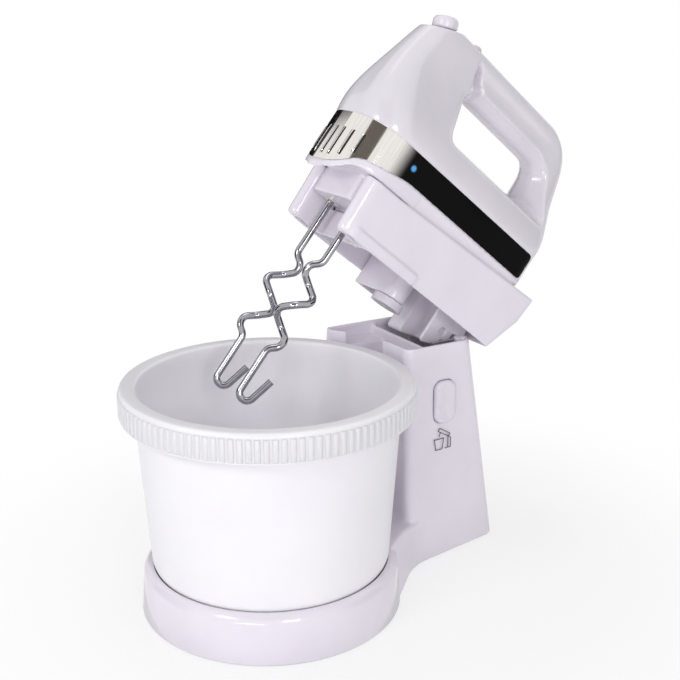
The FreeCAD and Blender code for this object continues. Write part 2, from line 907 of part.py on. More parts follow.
def make_drive_tyre():
    ring = upright(wheel_r, wheel_x, wheel_y, wheel_low_z, wheel_high_z)
    return ring.cut(upright(wheel_hub_r + pressed_clearance, wheel_x, wheel_y, wheel_low_z, wheel_high_z))


# Mixer housings: the seam runs level along the sides and dips under the nose
def seam_run(rise, rear_y):
    drop = math.tan(math.radians(seam_dip_deg))
    front_y = body_nose_y - body_half
    return [
        (front_y, seam_dip[1] + rise - (seam_dip[0] - front_y) * drop, 0),
        (seam_dip[0], seam_dip[1] + rise, seam_dip_r),
        (seam_bend_y, seam_z + rise, seam_bend_r),
        (rear_y, seam_z + rise, 0),
    ]


def below_seam(rise):
    far_y = body_rear_y + body_half
    front_y = body_nose_y - body_half
    low_z = tray_z - body_half * 2
    points = seam_run(rise, far_y) + [(far_y, low_z, 0), (front_y, low_z, 0)]
    return side_plate(points, -body_half * 2, body_half * 2)


def body_points(inset):
    return rounded_rectangle(body_half - inset, body_nose_y + inset, body_rear_y - inset,
                             body_nose_r - inset, body_rear_r - inset)


def tub_block(inset):
    gap = cradle_wall + slip_gap + inset
    half = cradle_half_low - gap
    low_rear = tub_rear_low_y - inset
    high_rear = tub_rear_high_y - inset
    front = notch_back_y + cradle_wall + slip_gap + inset
    radius = body_rear_r - inset
    low = rounded_rectangle(half, front, low_rear, radius, radius)
    high = rounded_rectangle(half, front, high_rear, radius, radius)
    return lofted([outline(low, mixer_low_z + inset), outline(high, rim_low_face)], True)


def nose_plate(half, inset, back_y, z0, z1):
    front = body_nose_y if half == body_half else nose_front_y
    radius = body_nose_r if half == body_half else nose_r
    points = rounded_rectangle(half - inset, front + inset, back_y, radius - inset, 0)
    return plate(points, z0, z1)


def make_lower_housing():
    wall = mixer_wall
    seam = seam_z - seat_gap
    cap_back = notch_back_y + cradle_front_r
    nose_back = notch_back_y + cradle_front_r / 2
    rim = plate(body_points(0), rim_low_face, seam)
    nose_cap = nose_plate(body_half, 0, cap_back, lip_z, seam)
    nose = nose_plate(nose_half, 0, nose_back, nose_low_z, seam)
    collar = nose_plate(body_half, 0, cap_back, nose_low_z, seam).cut(below_seam(-seat_gap - collar_drop))
    outer = joined([rim, nose_cap, nose, collar, tub_block(0)]).common(below_seam(-seat_gap))
    well_points = rounded_rectangle(tub_half - wall, body_nose_y + wall, tub_rear_high_y - wall,
                                    body_nose_r - wall, body_rear_r - wall)
    hollow = joined([
        plate(well_points, rim_low_face, seam),
        nose_plate(body_half, wall, cap_back, lip_z + wall, seam),
        nose_plate(nose_half, wall, cap_back, nose_low_z + wall, seam),
        tub_block(wall),
    ])
    floor_z = mixer_low_z + wall
    saddles = []
    stator_z = motor_z - stator_high
    for y in (stator_y0 + coil_thick * 2, stator_y1 - coil_thick * 2):
        saddles.append(box(-stator_half, stator_half, y - wall, y + wall, mixer_low_z, stator_z))
    for y in (front_bracket_y, rear_bracket_y):
        far_y = y + bracket_thick + wall
        saddles.append(box(-bracket_half, bracket_half, y - wall, far_y, mixer_low_z, floor_z + wall))
    sleeves = []
    bores = []
    for side in (-1, 1):
        x = side * spindle_x
        sleeves.append(upright(socket_r + wall, x, spindle_y, nose_low_z, nose_low_z + wall * 4))
        bores.append(upright(socket_r + shaft_clearance, x, spindle_y, nose_low_z, nose_low_z + wall * 4))
    return joined([outer.cut(hollow)] + saddles + sleeves).cut(bores[0]).cut(bores[1])


def station_wire(station, inset):
    z, half, nose, rear, nose_radius, rear_radius = station
    points = rounded_rectangle(half - inset, nose + inset, rear - inset,
                               nose_radius - inset, rear_radius - inset)
    return outline(points, z)


def upper_block():
    stations = [station_band, station_waist, station_grip, station_crown, station_top]
    skirt = plate(body_points(0), mixer_low_z, shoulder_z)
    crown = lofted([station_wire(station, 0) for station in stations], False)
    return joined([skirt, crown]).cut(below_seam(0))


def hole_wire(x):
    grow = abs(x) - hole_half
    wide = grow * hole_flare_y
    tall = grow * hole_flare_z
    corners = []
    hole_corners = (hole_front_top, hole_front_low, hole_rear_low, hole_rear_top)
    moves = ((-wide, tall), (-wide, -tall), (wide, -tall), (wide, tall))
    for (y, z, radius), (dy, dz) in zip(hole_corners, moves):
        corners.append((V(x, y + dy, z + dz), radius))
    return Part.Wire(rounded_edges(corners, True))


def hand_hole():
    throat = Part.Face(hole_wire(-hole_half)).extrude(V(hole_half * 2, 0, 0))
    flare = lofted([hole_wire(hole_half), hole_wire(body_half)], True)
    return joined([throat] + both_sides(flare))


def slope_cut():
    rise = math.tan(math.radians(tower_slope_deg))
    far_y = tower_slope_y + (station_top[0] - tower_slope_z) / rise
    top = station_top[0] + body_half
    points = [
        (body_nose_y * 2, tower_slope_z + (body_nose_y * 2 - tower_slope_y) * rise, 0),
        (far_y + body_half / rise, top, 0),
        (body_nose_y * 2, top, 0),
    ]
    return side_plate(points, -body_half, body_half)


def band_zone(depth, grow):
    outer = rounded_rectangle(body_half + grow, body_nose_y - grow, body_rear_y + grow,
                              body_nose_r + grow, body_rear_r + grow)
    inner = rounded_rectangle(body_half - depth, body_nose_y + depth, body_rear_y - depth,
                              body_nose_r - depth, body_rear_r - depth)
    return plate(outer, mixer_low_z, band_top_z).cut(plate(inner, mixer_low_z, band_top_z))


def band_side_view(gap):
    run = seam_run(band_margin + gap, band_rear_y - gap)
    run[-1] = (band_rear_y - gap, seam_z + band_margin + gap, band_corner_r)
    top = band_top_z - gap
    points = run + [(band_rear_y - gap, top, band_corner_r), (body_nose_y - body_half, top, 0)]
    return side_plate(points, -body_half * 2, body_half * 2)


def make_trim_band():
    ring = band_zone(band_thick, 0).common(band_side_view(seat_gap / 2))
    ring = ring.cut(across(led_r + pressed_clearance, led_y, led_z, 0, body_half * 2))
    for i in range(louvre_count):
        ring = ring.cut(louvre((i - (louvre_count - 1) / 2) * louvre_pitch))
    return ring


def louvre(along):
    # A slot square to the nose, its place measured along the surface from the middle.
    flat = body_half - body_nose_r
    turn = max(abs(along) - flat, 0) / body_nose_r
    x = min(abs(along), flat) + body_nose_r * math.sin(turn)
    y = body_nose_y + body_nose_r * (1 - math.cos(turn))
    drop = math.tan(math.radians(seam_dip_deg))
    low = seam_dip[1] - (seam_dip[0] - y) * drop + louvre_margin
    half = louvre_width / 2
    depth = band_thick * 2
    side = math.copysign(1, along)
    slot = box(-half, half, -depth, depth, low, louvre_top_z)
    slot.rotate(V(0, 0, 0), V(0, 0, 1), side * math.degrees(turn))
    slot.translate(V(side * x, y, 0))
    return slot


def make_led_lens():
    depth = band_thick + mixer_wall
    return across(led_r, led_y, led_z, body_half - depth, body_half)


def make_upper_housing():
    shell = upper_block().cut(hand_hole()).cut(slope_cut())
    shell = shell.cut(band_zone(band_thick + seat_gap, band_cut_over).common(band_side_view(0)))
    wall = mixer_wall + band_thick
    low_hollow = lofted([
        station_wire((mixer_low_z,) + station_band[1:], wall),
        station_wire(station_band, wall),
    ], True)
    flare_drop = (station_waist[1] - hole_half) * hole_flare_z
    roof_z = hole_front_low[1] - flare_drop - mixer_wall
    roof = (roof_z,) + station_waist[1:]
    high_hollow = lofted([station_wire(station_band, wall), station_wire(roof, wall)], True)
    tower = box(-channel_half, channel_half, eject_along - channel_half, hole_front_top[0] - wall * 1.5,
                roof_z - wall, tower_slope_z - wall)
    grip = box(-channel_half, channel_half, eject_along - channel_half, station_top[3] - channel_half,
               channel_low_z, tower_slope_z - wall)
    grip_top = box(-channel_half, channel_half, slider_y - slider_r * 2, station_top[3] - channel_half,
                   channel_low_z, channel_top_z)
    post = box(-channel_half, channel_half, hole_rear_low[0] + wall, body_rear_y - wall * 2,
               roof_z - wall, channel_low_z + wall)
    shell = shell.cut(joined([low_hollow, high_hollow, tower, grip, grip_top, post]))
    lens_hole = across(led_r + pressed_clearance, led_y, led_z, 0, body_half * 2)
    shell = shell.cut(lens_hole).cut(eject_solid(eject_stem_r + running_gap, -eject_stem, eject_height))
    shell = shell.cut(eject_solid(eject_r + running_gap, -eject_travel, eject_height))
    shell = shell.cut(slider_slot()).cut(turbo_room())
    inlet = lengthwise(inlet_r + pressed_clearance, 0, inlet_z, station_top[3] + body_rear_r, body_rear_y * 2)
    return shell.cut(inlet)


# Controls
def eject_solid(radius, low, high):
    tilt = math.radians(tower_slope_deg)
    out = V(0, -math.sin(tilt), math.cos(tilt))
    seat = V(0, eject_along, tower_slope_z + (eject_along - tower_slope_y) * math.tan(tilt))
    return rod(radius, seat.add(out * low), seat.add(out * high))


def make_eject_button():
    cap = eject_solid(eject_r, 0.0, eject_height)
    stem = eject_solid(eject_stem_r, -eject_stem + eject_travel + running_gap, 0.0)
    return joined([cap, stem])


def slider_slot():
    reach = slider_travel + slider_r / 2 + running_gap
    return box(-reach, reach, slider_y - slider_r / 2 - running_gap, slider_y + slider_r / 2 + running_gap,
               channel_top_z - running_gap, station_top[0])


def make_speed_slider():
    top = station_top[0] + seat_gap
    knob = upright(slider_r, 0, slider_y, top, top + slider_height)
    neck = upright(slider_r / 2, 0, slider_y, channel_top_z - running_gap, top)
    shoe = box(-slider_shoe_half, slider_shoe_half, slider_y - slider_r, slider_y + slider_r,
               channel_top_z - slider_height, channel_top_z - seat_gap)
    return joined([knob, neck, shoe])


def turbo_plate(gap, z0, z1):
    points = [
        (-turbo_half - gap, turbo_y0 - gap, turbo_corner_r),
        (turbo_half + gap, turbo_y0 - gap, turbo_corner_r),
        (turbo_half + gap, turbo_y1 + gap, turbo_corner_r),
        (-turbo_half - gap, turbo_y1 + gap, turbo_corner_r),
    ]
    return plate(points, z0, z1)


def turbo_room():
    return turbo_plate(running_gap, channel_top_z - running_gap, station_top[0] + turbo_proud)


def make_turbo_button():
    key = turbo_plate(0, channel_top_z - seat_gap - turbo_travel, station_top[0] + turbo_proud)
    lip = running_gap * 3
    flange = box(-turbo_half, turbo_half, turbo_y0 - lip, turbo_y1 + lip,
                 channel_top_z - turbo_travel * 2 - seat_gap, channel_top_z - seat_gap)
    return joined([key, flange])


def make_control_board():
    return box(-board_half, board_half, board_y0, board_y1, channel_low_z, channel_low_z + board_thick)


def make_cord_inlet():
    wall = mixer_wall + band_thick
    start = body_rear_y - wall
    bush = lengthwise(inlet_r, 0, inlet_z, start, body_rear_y + inlet_proud)
    return bush.cut(lengthwise(inlet_bore_r, 0, inlet_z, start, body_rear_y + inlet_proud))


# Motor
def make_stator():
    block = box(-stator_half, stator_half, stator_y0 + coil_thick, stator_y1 - coil_thick,
                motor_z - stator_high, motor_z + stator_high)
    block = block.cut(lengthwise(armature_r + armature_gap, 0, motor_z, stator_y0, stator_y1))
    return block


def make_field_coils():
    coils = []
    for side in (-1, 1):
        for y0 in (stator_y0, stator_y1 - coil_thick):
            low = motor_z + side * (armature_r + armature_gap * 2)
            high = motor_z + side * (stator_high - coil_margin)
            z0, z1 = sorted((low, high))
            coils.append(box(-armature_r, armature_r, y0, y0 + coil_thick, z0, z1))
    return Part.Compound(coils)


def make_bracket(y):
    foot_z = mixer_low_z + mixer_wall * 2
    block = box(-bracket_half, bracket_half, y, y + bracket_thick, foot_z, motor_z + shaft_r * 2)
    return block.cut(lengthwise(shaft_r + shaft_clearance, 0, motor_z, y, y + bracket_thick))


def make_armature():
    core = lengthwise(armature_r, 0, motor_z, stator_y0 + coil_thick, stator_y1 - coil_thick)
    return core.cut(lengthwise(shaft_r + pressed_clearance, 0, motor_z, stator_y0, stator_y1))


def make_commutator():
    ring = lengthwise(commutator_r, 0, motor_z, commutator_y0, commutator_y1)
    return ring.cut(lengthwise(shaft_r + pressed_clearance, 0, motor_z, commutator_y0, commutator_y1))


def make_motor_shaft():
    shaft = lengthwise(shaft_r, 0, motor_z, shaft_front_y, shaft_rear_y)
    return joined([shaft, lengthwise(worm_r, 0, motor_z, worm_y0, worm_y1)])


def make_fan():
    hub_r = shaft_r * 2
    hub = lengthwise(hub_r, 0, motor_z, fan_y, fan_y + fan_thick)
    disc = lengthwise(fan_r, 0, motor_z, fan_y, fan_y + mixer_wall)
    blades = []
    for i in range(fan_blades):
        blade = box(-mixer_wall / 2, mixer_wall / 2, fan_y, fan_y + fan_thick,
                    motor_z + hub_r / 2, motor_z + fan_r - blade_margin)
        blade.rotate(V(0, fan_y, motor_z), V(0, 1, 0), 360.0 * i / fan_blades)
        blades.append(blade)
    fan = joined([hub, disc] + blades)
    return fan.cut(lengthwise(shaft_r + pressed_clearance, 0, motor_z, fan_y, fan_y + fan_thick))


def make_brush_holders():
    holders = []
    gap = armature_gap
    middle_y = (commutator_y0 + commutator_y1) / 2
    for side in (-1, 1):
        x0, x1 = sorted((side * (commutator_r + gap), side * (commutator_r + gap + brush_length)))
        arm = box(x0, x1, front_bracket_y + bracket_thick, middle_y + brush_width / 2,
                  motor_z - brush_width / 2, motor_z + brush_width / 2)
        holders.append(arm)
    return Part.Compound(holders)


# Beater sockets, gears and dough hooks
def make_spindle(side):
    x = side * spindle_x
    gear_r = spindle_x - worm_r - running_gap
    root_r = gear_r - gear_tooth
    points = []
    step = 2 * math.pi / gear_teeth
    for i in range(gear_teeth):
        tooth = (
            (-gear_root_share, root_r),
            (-gear_tip_share, gear_r),
            (gear_tip_share, gear_r),
            (gear_root_share, root_r),
        )
        for share, radius in tooth:
            turn = (i + share) * step
            points.append((x + radius * math.cos(turn), spindle_y + radius * math.sin(turn), 0))
    gear = plate(points, gear_low_z, gear_high_z)
    socket = upright(socket_r, x, spindle_y, nose_low_z, gear_low_z)
    bore = upright(wire_r + shaft_clearance, x, spindle_y, nose_low_z, shank_top_z + running_gap)
    return joined([gear, socket]).cut(bore)


def make_hook(side):
    x = side * spindle_x
    base_turn = hook_turn_deg if side < 0 else hook_turn_deg + 180.0
    corners = [(V(x, spindle_y, shank_top_z), 0), (V(x, spindle_y, spiral_top_z), spiral_bend_r)]
    z = spiral_top_z - spiral_drop
    for i in range(spiral_quarters):
        turn = math.radians(base_turn - side * 90.0 * i)
        radius = spiral_r if i % 2 == 0 else spiral_flat_r
        place = V(x + radius * math.cos(turn), spindle_y + radius * math.sin(turn), z)
        corners.append((place, spiral_bend_r))
        z -= spiral_drop
    tip_turn = math.radians(hook_turn_deg)
    out = V(math.cos(tip_turn), math.sin(tip_turn), 0)
    axis = V(x, spindle_y, 0)
    corners.append((axis.add(V(0, 0, z)), bend_r))
    corners.append((axis.add(V(0, 0, hook_low_z)), bend_r))
    corners.append((axis.add(out * (hook_out * 2)).add(V(0, 0, hook_low_z)), bend_r))
    corners.append((axis.add(out * hook_tip_out).add(V(0, 0, hook_tip_z)), 0))
    path = Part.Wire(rounded_edges(corners, False))
    start = corners[0][0]
    section = Part.Wire([Part.Circle(start, V(0, 0, 1), wire_r).toShape()])
    return path.makePipeShell([section], True, False)


# Build every node
stand_node("bowl", make_bowl())
stand_node("turntable", make_turntable())
stand_node("turntable_stud", make_stud())
stand_node("glide_ring", make_glide_ring())
stand_node("stand_shell", make_stand_shell())
stand_node("base_plate", make_base_plate())
stand_node("base_screws", make_base_screws())
stand_node("foot_pads", make_foot_pads())
stand_node("hinge_pin", make_hinge_pin())
stand_node("release_button", make_release_button())
stand_node("latch_rocker", make_latch_rocker())
stand_node("rocker_pin", make_rocker_pin())
head_node("cradle_tray", make_cradle_tray())
head_node("drive_housing", make_drive_housing())
head_node("drive_shaft", make_drive_shaft())
head_node("drive_wheel", make_drive_wheel())
head_node("drive_tyre", make_drive_tyre())
head_node("lower_housing", make_lower_housing())
head_node("upper_housing", make_upper_housing())
head_node("trim_band", make_trim_band())
head_node("led_lens", make_led_lens())
head_node("eject_button", make_eject_button())
head_node("speed_slider", make_speed_slider())
head_node("turbo_button", make_turbo_button())
head_node("control_board", make_control_board())
head_node("cord_inlet", make_cord_inlet())
head_node("motor_stator", make_stator())
head_node("field_coils", make_field_coils())
head_node("front_bearing_bracket", make_bracket(front_bracket_y))
head_node("rear_bearing_bracket", make_bracket(rear_bracket_y))
head_node("armature", make_armature())
head_node("commutator", make_commutator())
head_node("motor_shaft", make_motor_shaft())
head_node("cooling_fan", make_fan())
head_node("brush_holders", make_brush_holders())
for hand, side in (("left", -1), ("right", 1)):
    head_node("spindle_" + hand, make_spindle(side))
    head_node("dough_hook_" + hand, make_hook(side))

# Tip the head back to its open stop, then set the origin under the middle of the whole part
low_y = -rim_r
high_y = low_y
for name, shape in nodes.items():
    if name in head_nodes:
        shape.rotate(V(0, hinge_y, hinge_z), V(1, 0, 0), -open_tilt)
    high_y = max(high_y, shape.optimalBoundingBox(False).YMax)
origin = V(bowl_axis_x, (low_y + high_y) / 2, 0)
for name, shape in nodes.items():
    shape.translate(origin * -1)
    shape.exportStep("parts/" + name + ".step")
    print(name, len(shape.Solids), shape.isValid(), round(shape.Volume / 1000, 2))
print("origin", origin)
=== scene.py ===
import json
import math

import bmesh
import bpy
import numpy as np
from mathutils import Matrix, Vector


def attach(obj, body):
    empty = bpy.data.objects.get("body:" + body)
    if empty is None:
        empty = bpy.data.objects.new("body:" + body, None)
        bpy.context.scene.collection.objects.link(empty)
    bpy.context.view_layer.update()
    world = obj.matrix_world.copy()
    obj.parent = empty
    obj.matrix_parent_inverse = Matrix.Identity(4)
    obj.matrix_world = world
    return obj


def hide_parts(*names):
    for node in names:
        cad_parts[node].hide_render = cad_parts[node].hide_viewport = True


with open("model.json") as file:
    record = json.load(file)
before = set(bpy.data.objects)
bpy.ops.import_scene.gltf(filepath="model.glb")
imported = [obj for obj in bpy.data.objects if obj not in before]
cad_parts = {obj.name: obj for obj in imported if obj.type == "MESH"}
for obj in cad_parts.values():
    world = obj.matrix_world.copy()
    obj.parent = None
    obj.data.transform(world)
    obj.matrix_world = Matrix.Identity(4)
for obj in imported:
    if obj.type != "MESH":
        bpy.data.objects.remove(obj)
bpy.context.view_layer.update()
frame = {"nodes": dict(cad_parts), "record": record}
nodes = frame["nodes"]
bodyOf = {node: body for body, members in frame["record"]["behaviour"]["bodies"].items()
          for node in members}
slotOf = {part["node"]: part["material_slot"] for part in frame["record"]["subparts"]}
print("frame loaded:", len(nodes), "nodes")

# Drawing frame: millimetres, X = 0 in the middle of head and column, Y = 0 at the bowl axis, Z = 0 on the
# table. The head is drawn lowered and tips back about the hinge.
layout = {"middleX": 34.0, "bowlY": 92.17388, "hingeY": 178.0, "hingeZ": 178.0, "tilt": math.radians(39.0)}


def standPoint(x, y, z):
    return Vector(((x - layout["middleX"]) / 1000, (y - layout["bowlY"]) / 1000, z / 1000))


def headPoint(x, y, z):
    c, s = math.cos(layout["tilt"]), math.sin(layout["tilt"])
    dy, dz = y - layout["hingeY"], z - layout["hingeZ"]
    return standPoint(x, layout["hingeY"] + dy * c + dz * s, layout["hingeZ"] - dy * s + dz * c)


def headArray(points, back=False):
    # rows of drawing-frame millimetres to metres, or the other way round
    c, s = math.cos(layout["tilt"]), math.sin(layout["tilt"])
    shift = np.array([layout["middleX"], layout["bowlY"], 0.0])
    hinge = np.array([0.0, layout["hingeY"], layout["hingeZ"]])
    turn = np.array([[1, 0, 0], [0, c, s], [0, -s, c]])
    if back:
        return (points * 1000 + shift - hinge) @ turn + hinge
    return ((points - hinge) @ turn.T + hinge - shift) / 1000


def standArray(points):
    return points * 1000 + np.array([layout["middleX"], layout["bowlY"], 0.0])


def tone(code):
    # sRGB hex to linear
    parts = [int(code[i:i + 2], 16) / 255 for i in (1, 3, 5)]
    return [p / 12.92 if p <= 0.04045 else ((p + 0.055) / 1.055) ** 2.4 for p in parts] + [1.0]


def addNode(tree, kind, settings=None, values=None, links=None, stops=None):
    node = tree.nodes.new(kind)
    for key, value in (settings or {}).items():
        setattr(node, key, value)
    for key, value in (values or {}).items():
        node.inputs[key].default_value = value
    for key, source in (links or {}).items():
        tree.links.new(source, node.inputs[key])
    if stops:
        marks = node.color_ramp.elements
        while len(marks) < len(stops):
            marks.new(0.5)
        for mark, (at, code) in zip(marks, stops):
            mark.position = at
            mark.color = tone(code)
    return node


def newMaterial(name):
    material = bpy.data.materials.new(name)
    material.use_nodes = True
    tree = material.node_tree
    tree.nodes.clear()
    shader = addNode(tree, "ShaderNodeBsdfPrincipled")
    addNode(tree, "ShaderNodeOutputMaterial", links={"Surface": shader.outputs[0]})
    place = addNode(tree, "ShaderNodeTexCoord")
    return material, tree, shader, place.outputs["Object"]


# Where a noise runs from shade to colour, a bump's depth in metres, and how far a metal's gloss varies.
rampEnds = (0.3, 0.7)
bumpDepth = 0.0002
metalSpread = 0.3


def mouldedPlastic(name, look):
    # Injection-moulded plastic: faint clouds in the colour, flow marks in the gloss, a trace of orange peel.
    material, tree, shader, place = newMaterial(name)
    cloud = addNode(tree, "ShaderNodeTexNoise", None,
                    {"Scale": 1000 / look["cloudMm"], "Detail": 3.0, "Roughness": 0.55},
                    {"Vector": place})
    colour = addNode(tree, "ShaderNodeValToRGB", None, None, {"Fac": cloud.outputs["Fac"]},
                     list(zip(rampEnds, (look["shade"], look["colour"]))))
    flow = addNode(tree, "ShaderNodeTexNoise", None,
                   {"Scale": 1000 / look["flowMm"], "Detail": 5.0, "Distortion": 0.6},
                   {"Vector": place})
    low, high = look["gloss"] - look["glossSpread"], look["gloss"] + look["glossSpread"]
    gloss = addNode(tree, "ShaderNodeMapRange", None, {"To Min": low, "To Max": high},
                    {"Value": flow.outputs["Fac"]})
    peel = addNode(tree, "ShaderNodeTexNoise", None, {"Scale": 1000 / look["peelMm"], "Detail": 2.0},
                   {"Vector": place})
    bump = addNode(tree, "ShaderNodeBump", None, {"Strength": look["peel"], "Distance": bumpDepth},
                   {"Height": peel.outputs["Fac"]})
    tree.links.new(colour.outputs["Color"], shader.inputs["Base Color"])
    tree.links.new(gloss.outputs[0], shader.inputs["Roughness"])
    tree.links.new(bump.outputs[0], shader.inputs["Normal"])
    shader.inputs["IOR"].default_value = look["ior"]
    if "glowMm" in look:
        # a wall thin enough for light to come through
        shader.inputs["Subsurface Weight"].default_value = look["glowShare"]
        shader.inputs["Subsurface Radius"].default_value = look["glowTint"]
        shader.inputs["Subsurface Scale"].default_value = look["glowMm"] / 1000
    return material


plasticLooks = {
    # white with a lavender cast, glossy enough to catch the lamps along its edges
    "glossAbs": {"colour": "#E8E2EC", "shade": "#E2DBE6", "cloudMm": 60, "flowMm": 25, "gloss": 0.13,
                 "glossSpread": 0.05, "peelMm": 1.6, "peel": 0.05, "ior": 1.53},
    # the same plastic, a little less lavender as the mixer's own body is, and a shade darker as painted shade
    # on the head
    "mixerAbsPaintedShade": {"colour": "#E1DCE4", "shade": "#DAD6DE", "cloudMm": 60, "flowMm": 25, "gloss": 0.13,
                 "glossSpread": 0.05, "peelMm": 1.6, "peel": 0.05, "ior": 1.53},
    # softer white that glows a little through its wall
    "bowlPolypropylene": {"colour": "#F5F3F8", "shade": "#F0EEF4", "cloudMm": 80, "flowMm": 30,
                          "gloss": 0.34, "glossSpread": 0.06, "peelMm": 1.2, "peel": 0.06, "ior": 1.49,
                          "glowMm": 9.0, "glowShare": 0.3, "glowTint": (1.0, 0.95, 1.0)},
    # satin white, duller than the shells round it
    "buttonAbs": {"colour": "#E5E0E9", "shade": "#DFD9E3", "cloudMm": 30, "flowMm": 12, "gloss": 0.28,
                  "glossSpread": 0.05, "peelMm": 1.2, "peel": 0.06, "ior": 1.53},
    # dull grey of mouldings out of sight
    "greyPolypropylene": {"colour": "#C4C3C9", "shade": "#B6B5BC", "cloudMm": 30, "flowMm": 10,
                          "gloss": 0.55, "glossSpread": 0.06, "peelMm": 1.0, "peel": 0.1, "ior": 1.49},
    # matt pale rubber
    "paleElastomer": {"colour": "#E2DEE6", "shade": "#D6D2DB", "cloudMm": 14, "flowMm": 5, "gloss": 0.6,
                      "glossSpread": 0.08, "peelMm": 0.8, "peel": 0.2, "ior": 1.5},
    # black rubber with hardly any gloss
    "darkRubber": {"colour": "#26262A", "shade": "#1D1D20", "cloudMm": 12, "flowMm": 5, "gloss": 0.75,
                   "glossSpread": 0.08, "peelMm": 0.7, "peel": 0.25, "ior": 1.5},
    # creamy, slightly waxy gears
    "gearAcetal": {"colour": "#E6E2D6", "shade": "#DAD5C6", "cloudMm": 20, "flowMm": 8, "gloss": 0.42,
                   "glossSpread": 0.05, "peelMm": 0.9, "peel": 0.08, "ior": 1.48},
    # green solder mask
    "boardLaminate": {"colour": "#2F6B43", "shade": "#275A38", "cloudMm": 8, "flowMm": 4, "gloss": 0.4,
                      "glossSpread": 0.08, "peelMm": 0.6, "peel": 0.1, "ior": 1.55},
}
finishes = {name: mouldedPlastic(name, look) for name, look in plasticLooks.items()}


def drawnMetal(name, look):
    # Drawn or turned bright metal: fine lines across the gloss, coarser than the real 0.05 mm, to show.
    material, tree, shader, place = newMaterial(name)
    stretch = addNode(tree, "ShaderNodeMapping", None, {"Scale": look["stretch"]}, {"Vector": place})
    lines = addNode(tree, "ShaderNodeTexNoise", None,
                    {"Scale": 1000 / look["lineMm"], "Detail": 4.0, "Roughness": 0.6},
                    {"Vector": stretch.outputs[0]})
    colour = addNode(tree, "ShaderNodeValToRGB", None, None, {"Fac": lines.outputs["Fac"]},
                     list(zip(rampEnds, (look["shade"], look["colour"]))))
    low, high = look["gloss"] * (1 - metalSpread), look["gloss"] * (1 + metalSpread)
    gloss = addNode(tree, "ShaderNodeMapRange", None, {"To Min": low, "To Max": high},
                    {"Value": lines.outputs["Fac"]})
    tree.links.new(colour.outputs["Color"], shader.inputs["Base Color"])
    tree.links.new(gloss.outputs[0], shader.inputs["Roughness"])
    shader.inputs["Metallic"].default_value = 1.0
    return material


metalLooks = {
    # mirror-bright wire that shows the studio's dark and light
    "chromePlate": {"colour": "#ADADB2", "shade": "#A0A0A6", "gloss": 0.05, "lineMm": 9,
                    "stretch": (1, 1, 1)},
    # turned steel with a soft streak of light
    "brightSteel": {"colour": "#B9B9BC", "shade": "#9C9CA0", "gloss": 0.26, "lineMm": 1.5,
                    "stretch": (1, 0.06, 1)},
    # warm wound wire
    "copperWinding": {"colour": "#B4713F", "shade": "#8A5230", "gloss": 0.3, "lineMm": 1.0,
                      "stretch": (0.1, 1, 1)},
    # dark stacked sheets
    "coreIron": {"colour": "#6E6E72", "shade": "#4C4C50", "gloss": 0.45, "lineMm": 0.9,
                 "stretch": (0.05, 1, 0.05)},
}
for name, look in metalLooks.items():
    finishes[name] = drawnMetal(name, look)


def makeBandFinish():
    # Polished stainless nose that fades through a printed gradient into piano-black lacquer along the sides.
    look = {"steel": "#F0EEEA", "steelShade": "#DEDBD5", "black": "#0A0A0A", "steelGloss": 0.1,
            "blackGloss": 0.12, "fadeStart": 20.0, "fadeEnd": 37.0, "lineMm": 0.5,
            "lineStretch": (1, 1, 0.02), "blackSpecular": 0.05}
    material, tree, shader, place = newMaterial("steelToLacquer")
    turn = Matrix.Rotation(layout["tilt"], 3, "X")
    hinge = headPoint(0, layout["hingeY"], layout["hingeZ"])
    lowered = addNode(tree, "ShaderNodeMapping", None,
                      {"Rotation": (layout["tilt"], 0, 0), "Location": hinge - turn @ hinge},
                      {"Vector": place})
    axes = addNode(tree, "ShaderNodeSeparateXYZ", links={"Vector": lowered.outputs[0]})
    start, end = [(look[key] - layout["bowlY"]) / 1000 for key in ("fadeStart", "fadeEnd")]
    fade = addNode(tree, "ShaderNodeMapRange", {"interpolation_type": "SMOOTHSTEP"},
                   {"From Min": start, "From Max": end},
                   {"Value": axes.outputs["Y"]})
    stretch = addNode(tree, "ShaderNodeMapping", None, {"Scale": look["lineStretch"]},
                      {"Vector": lowered.outputs[0]})
    lines = addNode(tree, "ShaderNodeTexNoise", None, {"Scale": 1000 / look["lineMm"], "Detail": 3.0},
                    {"Vector": stretch.outputs[0]})
    steel = addNode(tree, "ShaderNodeValToRGB", None, None, {"Fac": lines.outputs["Fac"]},
                    list(zip(rampEnds, (look["steelShade"], look["steel"]))))
    colour = addNode(tree, "ShaderNodeMix", {"data_type": "RGBA"}, {7: tone(look["black"])},
                     {0: fade.outputs[0], 6: steel.outputs["Color"]})
    metal = addNode(tree, "ShaderNodeMapRange", None, {"To Min": 1.0, "To Max": 0.0},
                    {"Value": fade.outputs[0]})
    gloss = addNode(tree, "ShaderNodeMapRange", None,
                    {"To Min": look["steelGloss"], "To Max": look["blackGloss"]},
                    {"Value": fade.outputs[0]})
    tree.links.new(colour.outputs[2], shader.inputs["Base Color"])
    tree.links.new(metal.outputs[0], shader.inputs["Metallic"])
    tree.links.new(gloss.outputs[0], shader.inputs["Roughness"])
    shader.inputs["Specular IOR Level"].default_value = look["blackSpecular"]
    return material


